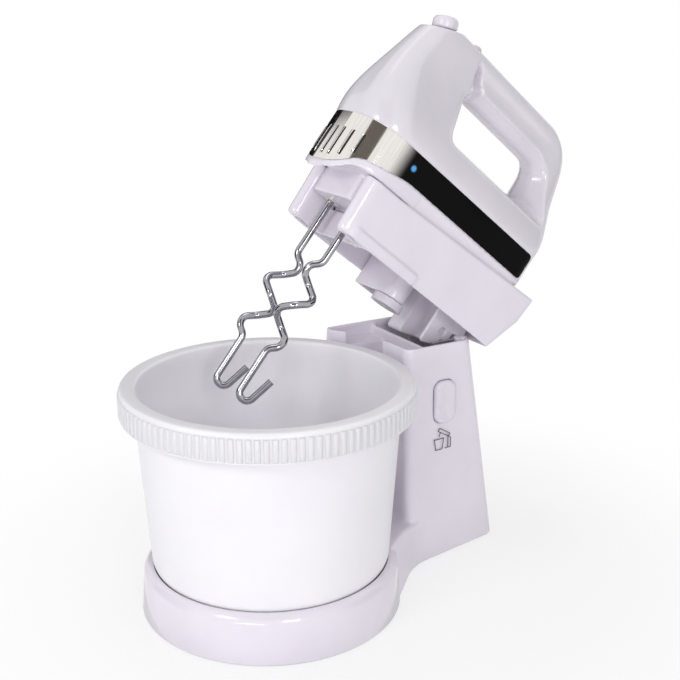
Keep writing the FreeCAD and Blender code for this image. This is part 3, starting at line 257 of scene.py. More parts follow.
def makeLampFinish():
    # Blue-tinted polycarbonate light pipe: bright in the middle, deep blue at its edge.
    look = {"at": (42.0, 41.0, 256.0), "radius": 3.0, "glow": 0.2, "gloss": 0.18,
            "stops": [(0.5, "#3C94D6"), (0.7, "#2A78B4"), (0.82, "#0A2A42")]}
    material, tree, shader, place = newMaterial("blueLightPipe")
    away = addNode(tree, "ShaderNodeVectorMath", {"operation": "DISTANCE"}, {1: headPoint(*look["at"])},
                   {0: place})
    share = addNode(tree, "ShaderNodeMath", {"operation": "DIVIDE"}, {1: look["radius"] / 1000},
                    {0: away.outputs["Value"]})
    colour = addNode(tree, "ShaderNodeValToRGB", None, None, {"Fac": share.outputs[0]}, look["stops"])
    tree.links.new(colour.outputs["Color"], shader.inputs["Base Color"])
    tree.links.new(colour.outputs["Color"], shader.inputs["Emission Color"])
    shader.inputs["Emission Strength"].default_value = look["glow"]
    shader.inputs["Roughness"].default_value = look["gloss"]
    return material


def makeInkFinish():
    # Pad-printed grey ink, a little uneven where the print is thin.
    look = {"grainMm": 0.6, "gloss": 0.5, "stops": [(0.3, "#4A4A50"), (0.75, "#68676E")]}
    material, tree, shader, place = newMaterial("padPrintInk")
    grain = addNode(tree, "ShaderNodeTexNoise", None, {"Scale": 1000 / look["grainMm"], "Detail": 3.0},
                    {"Vector": place})
    colour = addNode(tree, "ShaderNodeValToRGB", None, None, {"Fac": grain.outputs["Fac"]}, look["stops"])
    tree.links.new(colour.outputs["Color"], shader.inputs["Base Color"])
    shader.inputs["Roughness"].default_value = look["gloss"]
    return material


finishes["steelToLacquer"] = makeBandFinish()
finishes["blueLightPipe"] = makeLampFinish()
finishes["padPrintInk"] = makeInkFinish()
slotFinish = {
    "white_plastic": "glossAbs", "bowl_plastic": "bowlPolypropylene", "grey_plastic": "greyPolypropylene",
    "gear_plastic": "gearAcetal", "rubber": "darkRubber", "pale_rubber": "paleElastomer",
    "steel": "brightSteel", "trim": "steelToLacquer", "lens": "blueLightPipe", "board": "boardLaminate",
    "core_iron": "coreIron", "winding": "copperWinding", "chrome": "chromePlate",
}
for node, obj in nodes.items():
    obj.data.materials.clear()
    obj.data.materials.append(finishes[slotFinish[slotOf[node]]])
print("materials:", len(finishes))


def newPiece(name, mesh, finish):
    obj = bpy.data.objects.new(name, mesh)
    bpy.context.scene.collection.objects.link(obj)
    mesh.materials.clear()
    mesh.materials.append(finishes[finish])
    return obj


def settle(obj, node):
    # rides on the node's body and stands for the node
    obj.data.shade_smooth()
    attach(obj, bodyOf[node])
    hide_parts(node)
    return obj


def addTo(obj, node):
    # rides on the node's body beside it
    obj.data.shade_smooth()
    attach(obj, bodyOf[node])
    return obj


def evaluated(obj):
    # the mesh with its modifiers applied, and the modifiers gone
    graph = bpy.context.evaluated_depsgraph_get()
    mesh = bpy.data.meshes.new_from_object(obj.evaluated_get(graph), depsgraph=graph)
    obj.modifiers.clear()
    obj.vertex_groups.clear()
    old = obj.data
    obj.data = mesh
    bpy.data.meshes.remove(old)
    return obj


def meshFrom(name, verts, faces):
    mesh = bpy.data.meshes.new(name)
    mesh.from_pydata([tuple(v) for v in verts], [], faces)
    mesh.validate()
    return mesh


def outwards(mesh):
    work = bmesh.new()
    work.from_mesh(mesh)
    bmesh.ops.remove_doubles(work, verts=work.verts, dist=1e-6)
    bmesh.ops.recalc_face_normals(work, faces=work.faces)
    work.to_mesh(mesh)
    work.free()
    return mesh


def tubeFaces(first, rings, span):
    # quads between rings of points, and the two end faces
    faces = []
    for i in range(rings - 1):
        for j in range(span):
            a, b = first + i * span + j, first + i * span + (j + 1) % span
            faces.append((a, b, b + span, a + span))
    last = first + (rings - 1) * span
    return faces + [tuple(range(first, first + span)), tuple(range(last, last + span))]


def coordinates(mesh):
    flat = np.empty(len(mesh.vertices) * 3)
    mesh.vertices.foreach_get("co", flat)
    return flat.reshape(-1, 3)


def smoothRise(values, start, end):
    t = np.clip((values - start) / (end - start), 0, 1)
    return t * t * (3 - 2 * t)


weightSteps = 20


def softened(node, pieceName, finish, look, weight=None, shape=None):
    # a moulding with its edges eased: an even skin over the solid, smoothed by the weight given at each point
    mesh = nodes[node].data.copy()
    obj = newPiece(pieceName, mesh, finish)
    outwards(mesh)
    skin = obj.modifiers.new("skin", "REMESH")
    skin.mode = "VOXEL"
    skin.voxel_size = look["skinMm"] / 1000
    evaluated(obj)
    mesh = obj.data
    points = coordinates(mesh)
    if shape:
        points = shape(points)
        mesh.vertices.foreach_set("co", points.astype(np.float32).ravel())
        mesh.update()
    group = obj.vertex_groups.new(name="ease")
    strength = weight(points) if weight else np.full(len(points), 1.0)
    levels = np.round(np.clip(strength, 0, 1) * weightSteps).astype(int)
    for level in np.unique(levels):
        group.add(np.nonzero(levels == level)[0].tolist(), float(level) / weightSteps, "REPLACE")
    ease = obj.modifiers.new("ease", "SMOOTH")
    ease.factor = 0.5
    ease.iterations = look["passes"]
    ease.vertex_group = "ease"
    thin = obj.modifiers.new("thin", "DECIMATE")
    thin.ratio = look["keep"]
    evaluated(obj)
    obj.data.materials.clear()
    obj.data.materials.append(finishes[finish])
    settle(obj, node)
    print(pieceName, len(obj.data.polygons), "faces")
    return obj


def turnedAbout(name, profile, foot, direction, rounds):
    # a closed (radius, height) profile in millimetres spun about an axis
    turn = direction.to_track_quat("Z", "Y").to_matrix()
    verts = []
    faces = []
    count = len(profile)
    for i in range(rounds):
        a = 2 * math.pi * i / rounds
        for r, z in profile:
            verts.append(foot + turn @ Vector((r * math.cos(a), r * math.sin(a), z)) / 1000)
    for i in range(rounds):
        for j in range(count):
            a, b = i * count + j, i * count + (j + 1) % count
            c, d = ((i + 1) % rounds) * count + (j + 1) % count, ((i + 1) % rounds) * count + j
            faces.append((a, b, c, d))
    return outwards(meshFrom(name, verts, faces))


def rounded(corners, steps=8):
    # straight runs joined by arcs; a corner is (u, v, radius)
    points = []
    count = len(corners)
    for i, (u, v, radius) in enumerate(corners):
        here = Vector((u, v))
        if radius == 0:
            points.append(here)
            continue
        back = (Vector(corners[i - 1][:2]) - here).normalized()
        ahead = (Vector(corners[(i + 1) % count][:2]) - here).normalized()
        half = back.angle(ahead) / 2
        reach = radius / math.tan(half)
        centre = here + (back + ahead).normalized() * (radius / math.sin(half))
        first, last = here + back * reach - centre, here + ahead * reach - centre
        sweep = first.angle_signed(last)
        for k in range(steps + 1):
            spin = Matrix.Rotation(-sweep * k / steps, 2)
            points.append(centre + spin @ first)
    return [(p.x, p.y) for p in points]


# Eject button's place on the tower's sloping top.
ejectLook = {"y": 22.0, "slopeY": 4.5, "slopeZ": 358.0, "slope": math.radians(24.0), "r": 10.1,
             "height": 10.5, "edge": 4.2, "crown": 1.3, "low": 0.8, "lowEdge": 1.6, "stemR": 3.9,
             "stem": 21.0, "stemEdge": 0.8, "pole": 0.01, "disc": 0.5, "topShare": 0.55, "topEdge": 3.0,
             "rounds": 72}


def ejectSeat():
    return ejectLook["slopeZ"] + (ejectLook["y"] - ejectLook["slopeY"]) * math.tan(ejectLook["slope"])


# Upper housing: a narrow neck behind the tower, a soft crown and grip.
# The band's seat, the tower's edge and the deck of the buttons stay crisp.
upperLook = {
    "skinMm": 1.1, "passes": 44, "keep": 0.55, "crispBelow": 270.0, "softAbove": 284.0, "crispWeight": 0.02,
    "softWeight": 0.5, "towerTop": (54.0, 372.0), "towerLow": (66.5, 322.0), "stepMm": 1.6,
    "neckShare": 0.36, "gripShare": 0.86, "neckTop": 4.0, "neckLow": 17.0, "neckFloor": 0.75,
    "neckFade": (358.0, 367.0), "stepLow": 326.0, "stepHigh": 336.0, "rearStart": 140.0, "rearEnd": 182.0,
    "edgeKept": 9.0, "edgeWeight": 0.06, "topFrom": 352.0, "topTo": 364.0, "topWeight": 0.35,
    "holeZ": (286.0, 348.0), "holeY": (46.0, 188.0), "blend": 8.0, "holeTop": 335.4, "holeHalf": 7.0,
    "flare": 0.37, "gripRear": (150.0, 168.0), "gripRise": 6.0, "gripDeep": 16.0,
    "deckFrom": (354.0, 365.0), "deckY": (48.0, 93.0), "deckHalf": 9.5, "deckBlend": (354.0, 358.0),
    "gripFade": (-4.0, -2.0), "gripBehind": (4.0, 12.0), "pocketR": (12.0, 15.0),
}


def towerEdge(local):
    # distance behind the tower's rear edge
    (y0, z0), (y1, z1) = upperLook["towerTop"], upperLook["towerLow"]
    return local[:, 1] - (y0 + (y1 - y0) * (local[:, 2] - z0) / (z1 - z0))


def ejectAway(local):
    # distance from the axis of the eject button
    seat = np.array([0.0, ejectLook["y"], ejectSeat()])
    out = np.array([0.0, -math.sin(ejectLook["slope"]), math.cos(ejectLook["slope"])])
    offset = local - seat
    return np.linalg.norm(offset - np.outer(offset @ out, out), axis=1)


def upperEase(points):
    look = upperLook
    local = headArray(points, back=True)
    y, z, behind = local[:, 1], local[:, 2], towerEdge(local)
    soft = look["softWeight"] * smoothRise(z, look["crispBelow"], look["softAbove"])
    soft *= 1 - (1 - look["topWeight"]) * smoothRise(z, look["topFrom"], look["topTo"])
    atHole = 1.0
    for value, (low, high) in ((z, look["holeZ"]), (y, look["holeY"])):
        within = smoothRise(value, low, low + look["blend"])
        atHole = atHole * within * (1 - smoothRise(value, high - look["blend"], high))
    soft = np.maximum(soft, atHole)
    raised = smoothRise(z, look["stepLow"], look["stepHigh"])
    away = np.abs(behind - look["edgeKept"] / 2)
    near = 1 - smoothRise(away, look["edgeKept"] / 2, look["edgeKept"])
    soft *= 1 - (1 - look["edgeWeight"]) * raised * near
    deck = smoothRise(z, *look["deckBlend"]) * (np.abs(local[:, 0]) < look["deckHalf"])
    deck *= (y > look["deckY"][0]) & (y < look["deckY"][1])
    pocket = (1 - smoothRise(ejectAway(local), *look["pocketR"])) * smoothRise(z, *look["deckFrom"])
    return np.maximum(soft * (1 - np.maximum(deck, pocket)), look["crispWeight"])


def upperShape(points):
    look = upperLook
    local = headArray(points, back=True)
    x, y, z, behind = local[:, 0], local[:, 1], local[:, 2], towerEdge(local)
    outside = np.maximum(np.abs(x) - look["holeHalf"], 0)
    above = z - look["holeTop"] - look["flare"] * outside
    under = (1 - smoothRise(above, 0.0, look["gripDeep"])) * smoothRise(above, *look["gripFade"])
    under *= smoothRise(behind, *look["gripBehind"]) * (1 - smoothRise(y, *look["gripRear"]))
    raised = smoothRise(z, look["stepLow"], look["stepHigh"])
    front = 1 - smoothRise(y, look["rearStart"], look["rearEnd"])
    drop = (look["towerTop"][1] - z) / (look["towerTop"][1] - look["towerLow"][1])
    wide = look["neckTop"] + (look["neckLow"] - look["neckTop"]) * np.clip(drop, 0, 1)
    neck = (1 - smoothRise(behind, wide * look["neckFloor"], wide)) * (1 - smoothRise(z, *look["neckFade"]))
    share = look["gripShare"] - (look["gripShare"] - look["neckShare"]) * neck
    stepIn = smoothRise(behind, 0.0, look["stepMm"]) * raised * front
    stepIn *= 1 - smoothRise(z, *look["deckFrom"])
    local[:, 0] = x * (1 - (1 - share) * stepIn)
    local[:, 2] = z + look["gripRise"] * np.clip(outside / look["blend"], 0, 1) ** 2 * under
    return headArray(local)


# Lower housing and cradle: rounded under the nose and at the toes of the cheeks, crisp elsewhere.
lowerLook = {"skinMm": 1.0, "passes": 30, "keep": 0.5, "restWeight": 0.15, "noseWeight": 0.5,
             "noseY": (36.0, 44.0), "noseZ": (230.0, 235.0), "seamZ": 244.5, "seamBend": 45.0, "dipY": 2.0,
             "dipZ": 237.3, "dipSlope": math.radians(50.0), "close": 0.7, "closeFrom": (-7.0, -1.5)}
cradleLook = {"skinMm": 1.0, "passes": 50, "keep": 0.45, "restWeight": 0.1, "toeY": 24.0, "toeZ": 212.0,
              "blend": 12.0}


def lowerEase(points):
    look = lowerLook
    local = headArray(points, back=True)
    nose = (1 - smoothRise(local[:, 1], *look["noseY"])) * (1 - smoothRise(local[:, 2], *look["noseZ"]))
    return look["restWeight"] + (look["noseWeight"] - look["restWeight"]) * nose


def lowerShape(points):
    # the rim comes up to meet the band, so that no dark line is left between them
    look = lowerLook
    local = headArray(points, back=True)
    y, z = local[:, 1], local[:, 2]
    climb = (look["seamZ"] - look["dipZ"]) / (look["seamBend"] - look["dipY"])
    bend = look["dipZ"] + climb * (y - look["dipY"])
    dip = look["dipZ"] - (look["dipY"] - y) * math.tan(look["dipSlope"])
    seam = np.minimum(np.where(y < look["dipY"], dip, bend), look["seamZ"])
    local[:, 2] = z + look["close"] * smoothRise(z - seam, *look["closeFrom"])
    return headArray(local)


def cradleEase(points):
    look = cradleLook
    local = headArray(points, back=True)
    toe = 1 - smoothRise(local[:, 1], look["toeY"], look["toeY"] + look["blend"])
    toe *= 1 - smoothRise(local[:, 2], look["toeZ"], look["toeZ"] + look["blend"])
    return look["restWeight"] + (1 - look["restWeight"]) * toe


# Stand: crisp faces, and a broad blend where the column runs out into the foot.
standLook = {"skinMm": 1.15, "passes": 26, "keep": 0.42, "faceWeight": 0.3, "blendLow": (12.0, 22.0),
             "blendHigh": (48.0, 62.0), "blendX": (36.0, 44.0), "blendFront": (62.0, 74.0),
             "blendRear": (140.0, 165.0), "baseClear": (93.0, 97.0), "padFade": (0.9, 1.1), "padY": 152.0,
             "padZ": 136.0, "padReach": (14.0, 22.0), "padWeight": 0.08}


def standEase(points):
    look = standLook
    local = standArray(points)
    x, y, z = local.T
    away = np.hypot(x - layout["middleX"], y)
    blend = smoothRise(x, *look["blendX"]) * smoothRise(y, *look["blendFront"])
    blend *= 1 - smoothRise(y, *look["blendRear"])
    blend *= smoothRise(z, *look["blendLow"]) * (1 - smoothRise(z, *look["blendHigh"]))
    blend *= smoothRise(away, *look["baseClear"])
    atPad = np.maximum(np.abs(y - look["padY"]) / look["padReach"][0],
                       np.abs(z - look["padZ"]) / look["padReach"][1])
    beyond = smoothRise(atPad, *look["padFade"])
    face = look["padWeight"] + (look["faceWeight"] - look["padWeight"]) * beyond
    return face + (1 - face) * blend


# Drive housing and turbo button: their own form with the edges just broken.
driveLook = {"skinMm": 0.7, "passes": 3, "keep": 0.5}
turboLook = {"skinMm": 0.4, "passes": 8, "keep": 0.6}
# the upper housing takes the darker copy of the white plastic: its extra darkness is painted shade
softened("upper_housing", "mixerUpperHousing", "mixerAbsPaintedShade", upperLook, upperEase, upperShape)
softened("lower_housing", "mixerLowerHousing", "glossAbs", lowerLook, lowerEase, lowerShape)
softened("cradle_tray", "cradle", "glossAbs", cradleLook, cradleEase)
softened("stand_shell", "standShell", "glossAbs", standLook, standEase)
softened("drive_housing", "driveHousing", "glossAbs", driveLook)
softened("turbo_button", "turboButton", "buttonAbs", turboLook)
print("mouldings eased")


# Base rim: a turned lip over the round base, so that its edge and the bowl's well run true.
baseLook = {"axis": (layout["middleX"], 0.0), "footR": 99.62, "topR": 96.62, "low": 1.2, "top": 38.12,
            "edge": 9.0, "wellR": 89.9, "wellLow": 23.0, "lip": 0.7, "lipTurns": (1.2, 0.8, 0.4, 0.0),
            "wall": 0.9, "underShare": 0.9, "ledge": 20.0, "edgeSteps": 14, "rounds": 240}


def baseProfile():
    look = baseLook
    outer = rounded([(look["footR"] - look["wall"], look["low"], 0), (look["footR"], look["low"], 0),
                     (look["topR"], look["top"], look["edge"]),
                     (look["topR"] - look["ledge"], look["top"], 0)], look["edgeSteps"])[1:-1]
    outer = [point for point in outer if point[0] > look["wellR"] + look["lip"]]
    z = outer[-1][1]
    arc = [(look["wellR"] + look["lip"] * (1 - math.cos(a)), z - look["lip"] * (1 - math.sin(a)))
           for a in look["lipTurns"]]
    inner = [(look["wellR"], look["wellLow"]), (look["wellR"] + look["wall"], look["wellLow"])]
    under = [(r - look["wall"] * look["underShare"], h - look["wall"]) for r, h in reversed(outer)]
    return outer + arc + inner + [(look["wellR"] + look["wall"], under[0][1] - look["wall"])] + under


def makeBaseRim():
    look = baseLook
    mesh = turnedAbout("baseRim", baseProfile(), standPoint(*look["axis"], 0), Vector((0, 0, 1)),
                       look["rounds"])
    addTo(newPiece("baseRim", mesh, "glossAbs"), "stand_shell")


makeBaseRim()


# Bowl: turned wall and lip, with the grip ribs set round it by nodes.
bowlLook = {
    "axis": (layout["middleX"], 0.0), "rounds": 232, "ribs": 116, "ribR": 108.3, "ribProud": 1.65,
    "ribWide": 4.8, "ribLow": 157.3, "ribHigh": 174.6, "ribEnds": [(0.0, 0.0), (0.3, 0.55), (1.2, 1.0)],
    "ringPoints": 256,
    "ribSection": [(-1.0, -0.2), (-0.86, 0.55), (-0.5, 0.92), (0.0, 1.0), (0.5, 0.92), (0.86, 0.55),
                   (1.0, -0.2)],
    "profile": [(0.02, 37.4, 0), (0.6, 37.4, 0), (20.0, 37.4, 1.0), (21.6, 33.0, 1.4), (86.8, 33.0, 11.0),
                (96.6, 178.0, 2.6), (109.0, 178.0, 3.0), (109.0, 156.0, 0.9), (106.4, 156.0, 0.9),
                (106.4, 175.0, 0.6), (99.6, 175.0, 0.6), (89.8, 30.0, 14.0), (17.9, 30.0, 0),
                (17.9, 34.4, 0), (0.02, 34.4, 0)],
}


def ribMesh():
    # one rib lying along Z, its front crowned and its ends rounded
    look = bowlLook
    half, proud = look["ribWide"] / 2000, look["ribProud"] / 1000
    length = (look["ribHigh"] - look["ribLow"]) / 1000
    rings = [(z / 1000, rise) for z, rise in look["ribEnds"]]
    rings += [(length - z, rise) for z, rise in reversed(rings)]
    verts = []
    for z, rise in rings:
        for side, out in look["ribSection"]:
            verts.append((out * proud if out < 0 else out * proud * rise, side * half, z))
    return outwards(meshFrom("rib", verts, tubeFaces(0, len(rings), len(look["ribSection"]))))


def newTree(name, inputs):
    tree = bpy.data.node_groups.new(name, "GeometryNodeTree")
    tree.interface.new_socket("Geometry", in_out="INPUT", socket_type="NodeSocketGeometry")
    for label, kind in inputs:
        tree.interface.new_socket(label, in_out="INPUT", socket_type=kind)
    tree.interface.new_socket("Geometry", in_out="OUTPUT", socket_type="NodeSocketGeometry")
    return tree


def closeTree(tree, geometry, finish):
    # instances made real, dressed and handed on
    real = addNode(tree, "GeometryNodeRealizeInstances", None, None, {"Geometry": geometry})
    dressed = addNode(tree, "GeometryNodeSetMaterial", None, {"Material": finishes[finish]},
                      {"Geometry": real.outputs[0]})
    addNode(tree, "NodeGroupOutput", None, None, {"Geometry": dressed.outputs[0]})
    return tree


def setInputs(modifier, values):
    for item in modifier.node_group.interface.items_tree:
        if item.item_type == "SOCKET" and item.in_out == "INPUT" and item.name in values:
            modifier[item.identifier] = values[item.name]


def ringOfRibs(rib, finish):
    tree = newTree("ribsRoundRim",
                   [("Count", "NodeSocketInt"), ("Radius", "NodeSocketFloat"),
                    ("Height", "NodeSocketFloat")])
    given = addNode(tree, "NodeGroupInput").outputs
    ring = addNode(tree, "GeometryNodeCurvePrimitiveCircle", None, {"Resolution": bowlLook["ringPoints"]},
                   {"Radius": given["Radius"]})
    points = addNode(tree, "GeometryNodeCurveToPoints", {"mode": "COUNT"}, None,
                     {"Curve": ring.outputs[0], "Count": given["Count"]})
    place = addNode(tree, "GeometryNodeInputPosition")
    facing = addNode(tree, "FunctionNodeAlignRotationToVector", {"axis": "X"}, None,
                     {"Vector": place.outputs[0]})
    shape = addNode(tree, "GeometryNodeObjectInfo", None, {"Object": rib})
    spread = addNode(tree, "GeometryNodeInstanceOnPoints", None, None, {
        "Points": points.outputs["Points"], "Instance": shape.outputs["Geometry"],
        "Rotation": facing.outputs[0]})
    middle = standPoint(*bowlLook["axis"], 0)
    lift = addNode(tree, "ShaderNodeCombineXYZ", None, {"X": middle.x, "Y": middle.y},
                   {"Z": given["Height"]})
    moved = addNode(tree, "GeometryNodeTransform", None, None,
                    {"Geometry": spread.outputs[0], "Translation": lift.outputs[0]})
    whole = addNode(tree, "GeometryNodeJoinGeometry", None, None, {"Geometry": moved.outputs[0]})
    tree.links.new(given["Geometry"], whole.inputs[0])
    return closeTree(tree, whole.outputs[0], finish)


def makeBowl():
    look = bowlLook
    mesh = turnedAbout("bowl", rounded(look["profile"]), standPoint(*look["axis"], 0), Vector((0, 0, 1)),
                       look["rounds"])
    bowl = newPiece("bowlWithRibs", mesh, "bowlPolypropylene")
    rib = newPiece("ribShape", ribMesh(), "bowlPolypropylene")
    ribs = bowl.modifiers.new("ribs", "NODES")
    ribs.node_group = ringOfRibs(rib, "bowlPolypropylene")
    setInputs(ribs, {"Count": look["ribs"], "Radius": look["ribR"] / 1000, "Height": look["ribLow"] / 1000})
    evaluated(bowl)
    bpy.data.objects.remove(rib)
    return settle(bowl, "bowl")


makeBowl()
print("bowl turned")


# Dough hooks: one length of wire each, bent in flats round its axis, with a turned-up tip.
hookLook = {"x": 20.0, "y": 33.0, "top": 230.0, "spiralTop": 161.0, "spiralR": 12.0, "flatR": 7.0,
            "drop": 9.5, "quarters": 7, "low": 43.5, "out": 10.0, "tipOut": 16.0, "tipZ": 66.0,
            "wireR": 2.8, "bend": 7.5, "turn": 55.5, "bendSteps": 14, "wireSides": 28}


def hookRoute(side):
    look = hookLook
    x, y = side * look["x"], look["y"]
    start = look["turn"] if side < 0 else look["turn"] + 180.0
    route = [(x, y, look["top"]), (x, y, look["spiralTop"])]
    z = look["spiralTop"] - look["drop"]
    for i in range(look["quarters"]):
        turn = math.radians(start - side * 90.0 * i)
        r = look["spiralR"] if i % 2 == 0 else look["flatR"]
        route.append((x + r * math.cos(turn), y + r * math.sin(turn), z))
        z -= look["drop"]
    ux, uy = math.cos(math.radians(look["turn"])), math.sin(math.radians(look["turn"]))
    route.append((x, y, z))
    route.append((x, y, look["low"]))
    route.append((x + ux * look["out"], y + uy * look["out"], look["low"]))
    route.append((x + ux * look["tipOut"], y + uy * look["tipOut"], look["tipZ"]))
    return [headPoint(*p) for p in route]


def wireTree(finish):
    tree = newTree("bentWire", [("Wire radius", "NodeSocketFloat"), ("Bend radius", "NodeSocketFloat")])
    given = addNode(tree, "NodeGroupInput").outputs
    bent = addNode(tree, "GeometryNodeFilletCurve", {"mode": "POLY"},
                   {"Count": hookLook["bendSteps"], "Limit Radius": True},
                   {"Curve": given["Geometry"], "Radius": given["Bend radius"]})
    section = addNode(tree, "GeometryNodeCurvePrimitiveCircle", None, {"Resolution": hookLook["wireSides"]},
                      {"Radius": given["Wire radius"]})
    wire = addNode(tree, "GeometryNodeCurveToMesh", None, {"Fill Caps": True},
                   {"Curve": bent.outputs[0], "Profile Curve": section.outputs[0]})
    return closeTree(tree, wire.outputs[0], finish)


def makeHooks():
    tree = wireTree("chromePlate")
    for hand, side in (("left", -1), ("right", 1)):
        line = bpy.data.curves.new("hookLine", "CURVE")
        line.dimensions = "3D"
        spline = line.splines.new("POLY")
        route = hookRoute(side)
        spline.points.add(len(route) - 1)
        for point, at in zip(spline.points, route):
            point.co = (*at, 1.0)
        guide = bpy.data.objects.new("hookGuide", line)
        bpy.context.scene.collection.objects.link(guide)
        bend = guide.modifiers.new("wire", "NODES")
        bend.node_group = tree
        setInputs(bend, {"Wire radius": hookLook["wireR"] / 1000, "Bend radius": hookLook["bend"] / 1000})
        graph = bpy.context.evaluated_depsgraph_get()
        mesh = bpy.data.meshes.new_from_object(guide.evaluated_get(graph), depsgraph=graph)
        bpy.data.objects.remove(guide)
        hook = newPiece("wireHook" + hand.capitalize(), outwards(mesh), "chromePlate")
        settle(hook, "dough_hook_" + hand)


makeHooks()
print("hooks bent")


# Round caps on the handle: eject button and speed knob, turned about their own axes.
knobLook = {"y": 56.5, "top": 370.7, "edgeSteps": 4, "rounds": 48, "profile": [
    (0.01, 5.5, 0), (0.4, 5.5, 0), (3.0, 5.5, 1.5), (3.9, 4.7, 0.6), (3.9, 4.1, 0.2), (4.6, 3.7, 0.5),
    (4.6, 2.9, 0.5), (4.0, 2.5, 0.2), (4.0, 2.0, 0.2), (4.6, 1.6, 0.5), (4.6, 0.25, 0.3), (2.1, 0.25, 0),
    (2.1, -6.2, 0), (0.01, -6.2, 0)]}


def makeEjectButton():
    look = ejectLook
    seatZ = ejectSeat()
    foot = headPoint(0, look["y"], seatZ)
    tip = headPoint(0, look["y"] - math.sin(look["slope"]), seatZ + math.cos(look["slope"]))
    r, high = look["r"], look["height"]
    profile = rounded([(look["pole"], high, 0), (look["disc"], high, 0),
                       (r * look["topShare"], high, look["topEdge"]),
                       (r, high - look["crown"], look["edge"]),
                       (r, look["low"], look["lowEdge"]), (look["stemR"], look["low"], 0),
                       (look["stemR"], -look["stem"], look["stemEdge"]), (look["pole"], -look["stem"], 0)])
    mesh = turnedAbout("ejectCap", profile, foot, (tip - foot).normalized(), look["rounds"])
    settle(newPiece("ejectButton", mesh, "buttonAbs"), "eject_button")


def makeSpeedKnob():
    look = knobLook
    foot = headPoint(0, look["y"], look["top"])
    up = (headPoint(0, look["y"], look["top"] + 1) - foot).normalized()
    mesh = turnedAbout("speedKnobCap", rounded(look["profile"], look["edgeSteps"]), foot, up,
                       look["rounds"])
    settle(newPiece("speedKnob", mesh, "buttonAbs"), "speed_slider")


makeEjectButton()
makeSpeedKnob()


# Release button: an oblong pad with eased edges and a thumb dish in its lower half.
padLook = {"y": 152.0, "z": 136.0, "wide": 19.7, "tall": 35.5, "corner": 7.7, "face": 48.3, "deep": 6.6,
           "edge": 2.2, "dishY": 152.5, "dishZ": 129.0, "dishWide": 7.0, "dishTall": 10.5, "dish": 1.7,
           "stem": 35.2, "stemHalfY": 3.5, "stemHalfZ": 2.0, "dishPower": 1.2,
           "edgeTurns": (0.4, 0.8, 1.2, math.pi / 2), "faceRings": 9, "leastCorner": 0.3, "cornerSteps": 9}


def makeReleaseButton():
    look = padLook
    square = ((-1, -1), (1, -1), (1, 1), (-1, 1))
    rings = [(0.0, -look["deep"]), (0.0, -look["edge"])]
    rings += [(look["edge"] * (1 - math.cos(a)), -look["edge"] * (1 - math.sin(a)))
              for a in look["edgeTurns"]]
    count, flat = look["faceRings"], look["wide"] / 2 - look["edge"]
    rings += [(look["edge"] + flat * k / count, 0.0) for k in range(1, count)]
    verts = []
    for inset, depth in rings:
        halfY, halfZ = look["wide"] / 2 - inset, look["tall"] / 2 - inset
        corner = max(look["corner"] - inset, look["leastCorner"] * halfY)
        outline = [(u * halfY, v * halfZ, corner) for u, v in square]
        for u, v in rounded(outline, look["cornerSteps"]):
            y, z = look["y"] + u, look["z"] + v
            across, up = (y - look["dishY"]) / look["dishWide"], (z - look["dishZ"]) / look["dishTall"]
            bowlShare = max(0.0, 1 - across ** 2 - up ** 2) ** look["dishPower"]
            hollow = look["dish"] * bowlShare if inset >= look["edge"] else 0.0
            verts.append(standPoint(look["face"] + depth - hollow, y, z))
    faces = tubeFaces(0, len(rings), len(verts) // len(rings))
    base = len(verts)
    for x in (look["stem"], look["face"] - look["deep"]):
        for u, v in square:
            verts.append(standPoint(x, look["y"] + u * look["stemHalfY"],
                                    look["z"] + v * look["stemHalfZ"]))
    faces += tubeFaces(base, 2, len(square))[:-1]
    mesh = outwards(meshFrom("releasePad", verts, faces))
    settle(newPiece("releaseButton", mesh, "buttonAbs"), "release_button")


makeReleaseButton()
print("buttons made")


# Printed sign on the column: a plain line drawing of a head tipping up from a bowl.
signLook = {"lineMm": 0.6, "lift": 0.14, "sunk": 0.2, "at": (142.4, 95.6), "size": 1.3, "frontY": 60.0,
            "rearY": 216.0, "footFront": 63.0, "footRear": 37.0, "top": 45.0, "topZ": 184.0, "lowZ": 0.8,
            "strokes": [
                [(0.0, 7.0), (7.4, 7.0), (6.2, 0.0), (1.2, 0.0), (0.0, 7.0)],
                [(8.8, 0.0), (13.0, 0.0), (13.0, 6.2), (10.8, 8.0), (10.8, 0.0)],
                [(4.2, 14.0), (12.4, 9.0), (11.2, 7.3), (3.0, 12.3), (4.2, 14.0)],
                [(4.7, 11.0), (3.7, 8.8)]]}


def wallX(y, z):
    look = signLook
    share = (y - look["frontY"]) / (look["rearY"] - look["frontY"])
    foot = look["footFront"] + (look["footRear"] - look["footFront"]) * share
    return foot + (look["top"] - foot) * (z - look["lowZ"]) / (look["topZ"] - look["lowZ"])


def makeSign():
    look = signLook
    verts = []
    faces = []
    half = look["lineMm"] / 2
    for stroke in look["strokes"]:
        spots = [Vector((look["at"][0] + u * look["size"], look["at"][1] + v * look["size"]))
                 for u, v in stroke]
        for first, last in zip(spots, spots[1:]):
            along = (last - first).normalized() * half
            side = Vector((-along.y, along.x))
            base = len(verts)
            for lift in (look["lift"], -look["sunk"]):
                for spot in (first - along - side, last + along - side, last + along + side,
                             first - along + side):
                    verts.append(standPoint(wallX(*spot) + lift, *spot))
            faces += tubeFaces(base, 2, 4)
    sign = newPiece("tiltSign", outwards(meshFrom("tiltSign", verts, faces)), "padPrintInk")
    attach(sign, "stand")


makeSign()
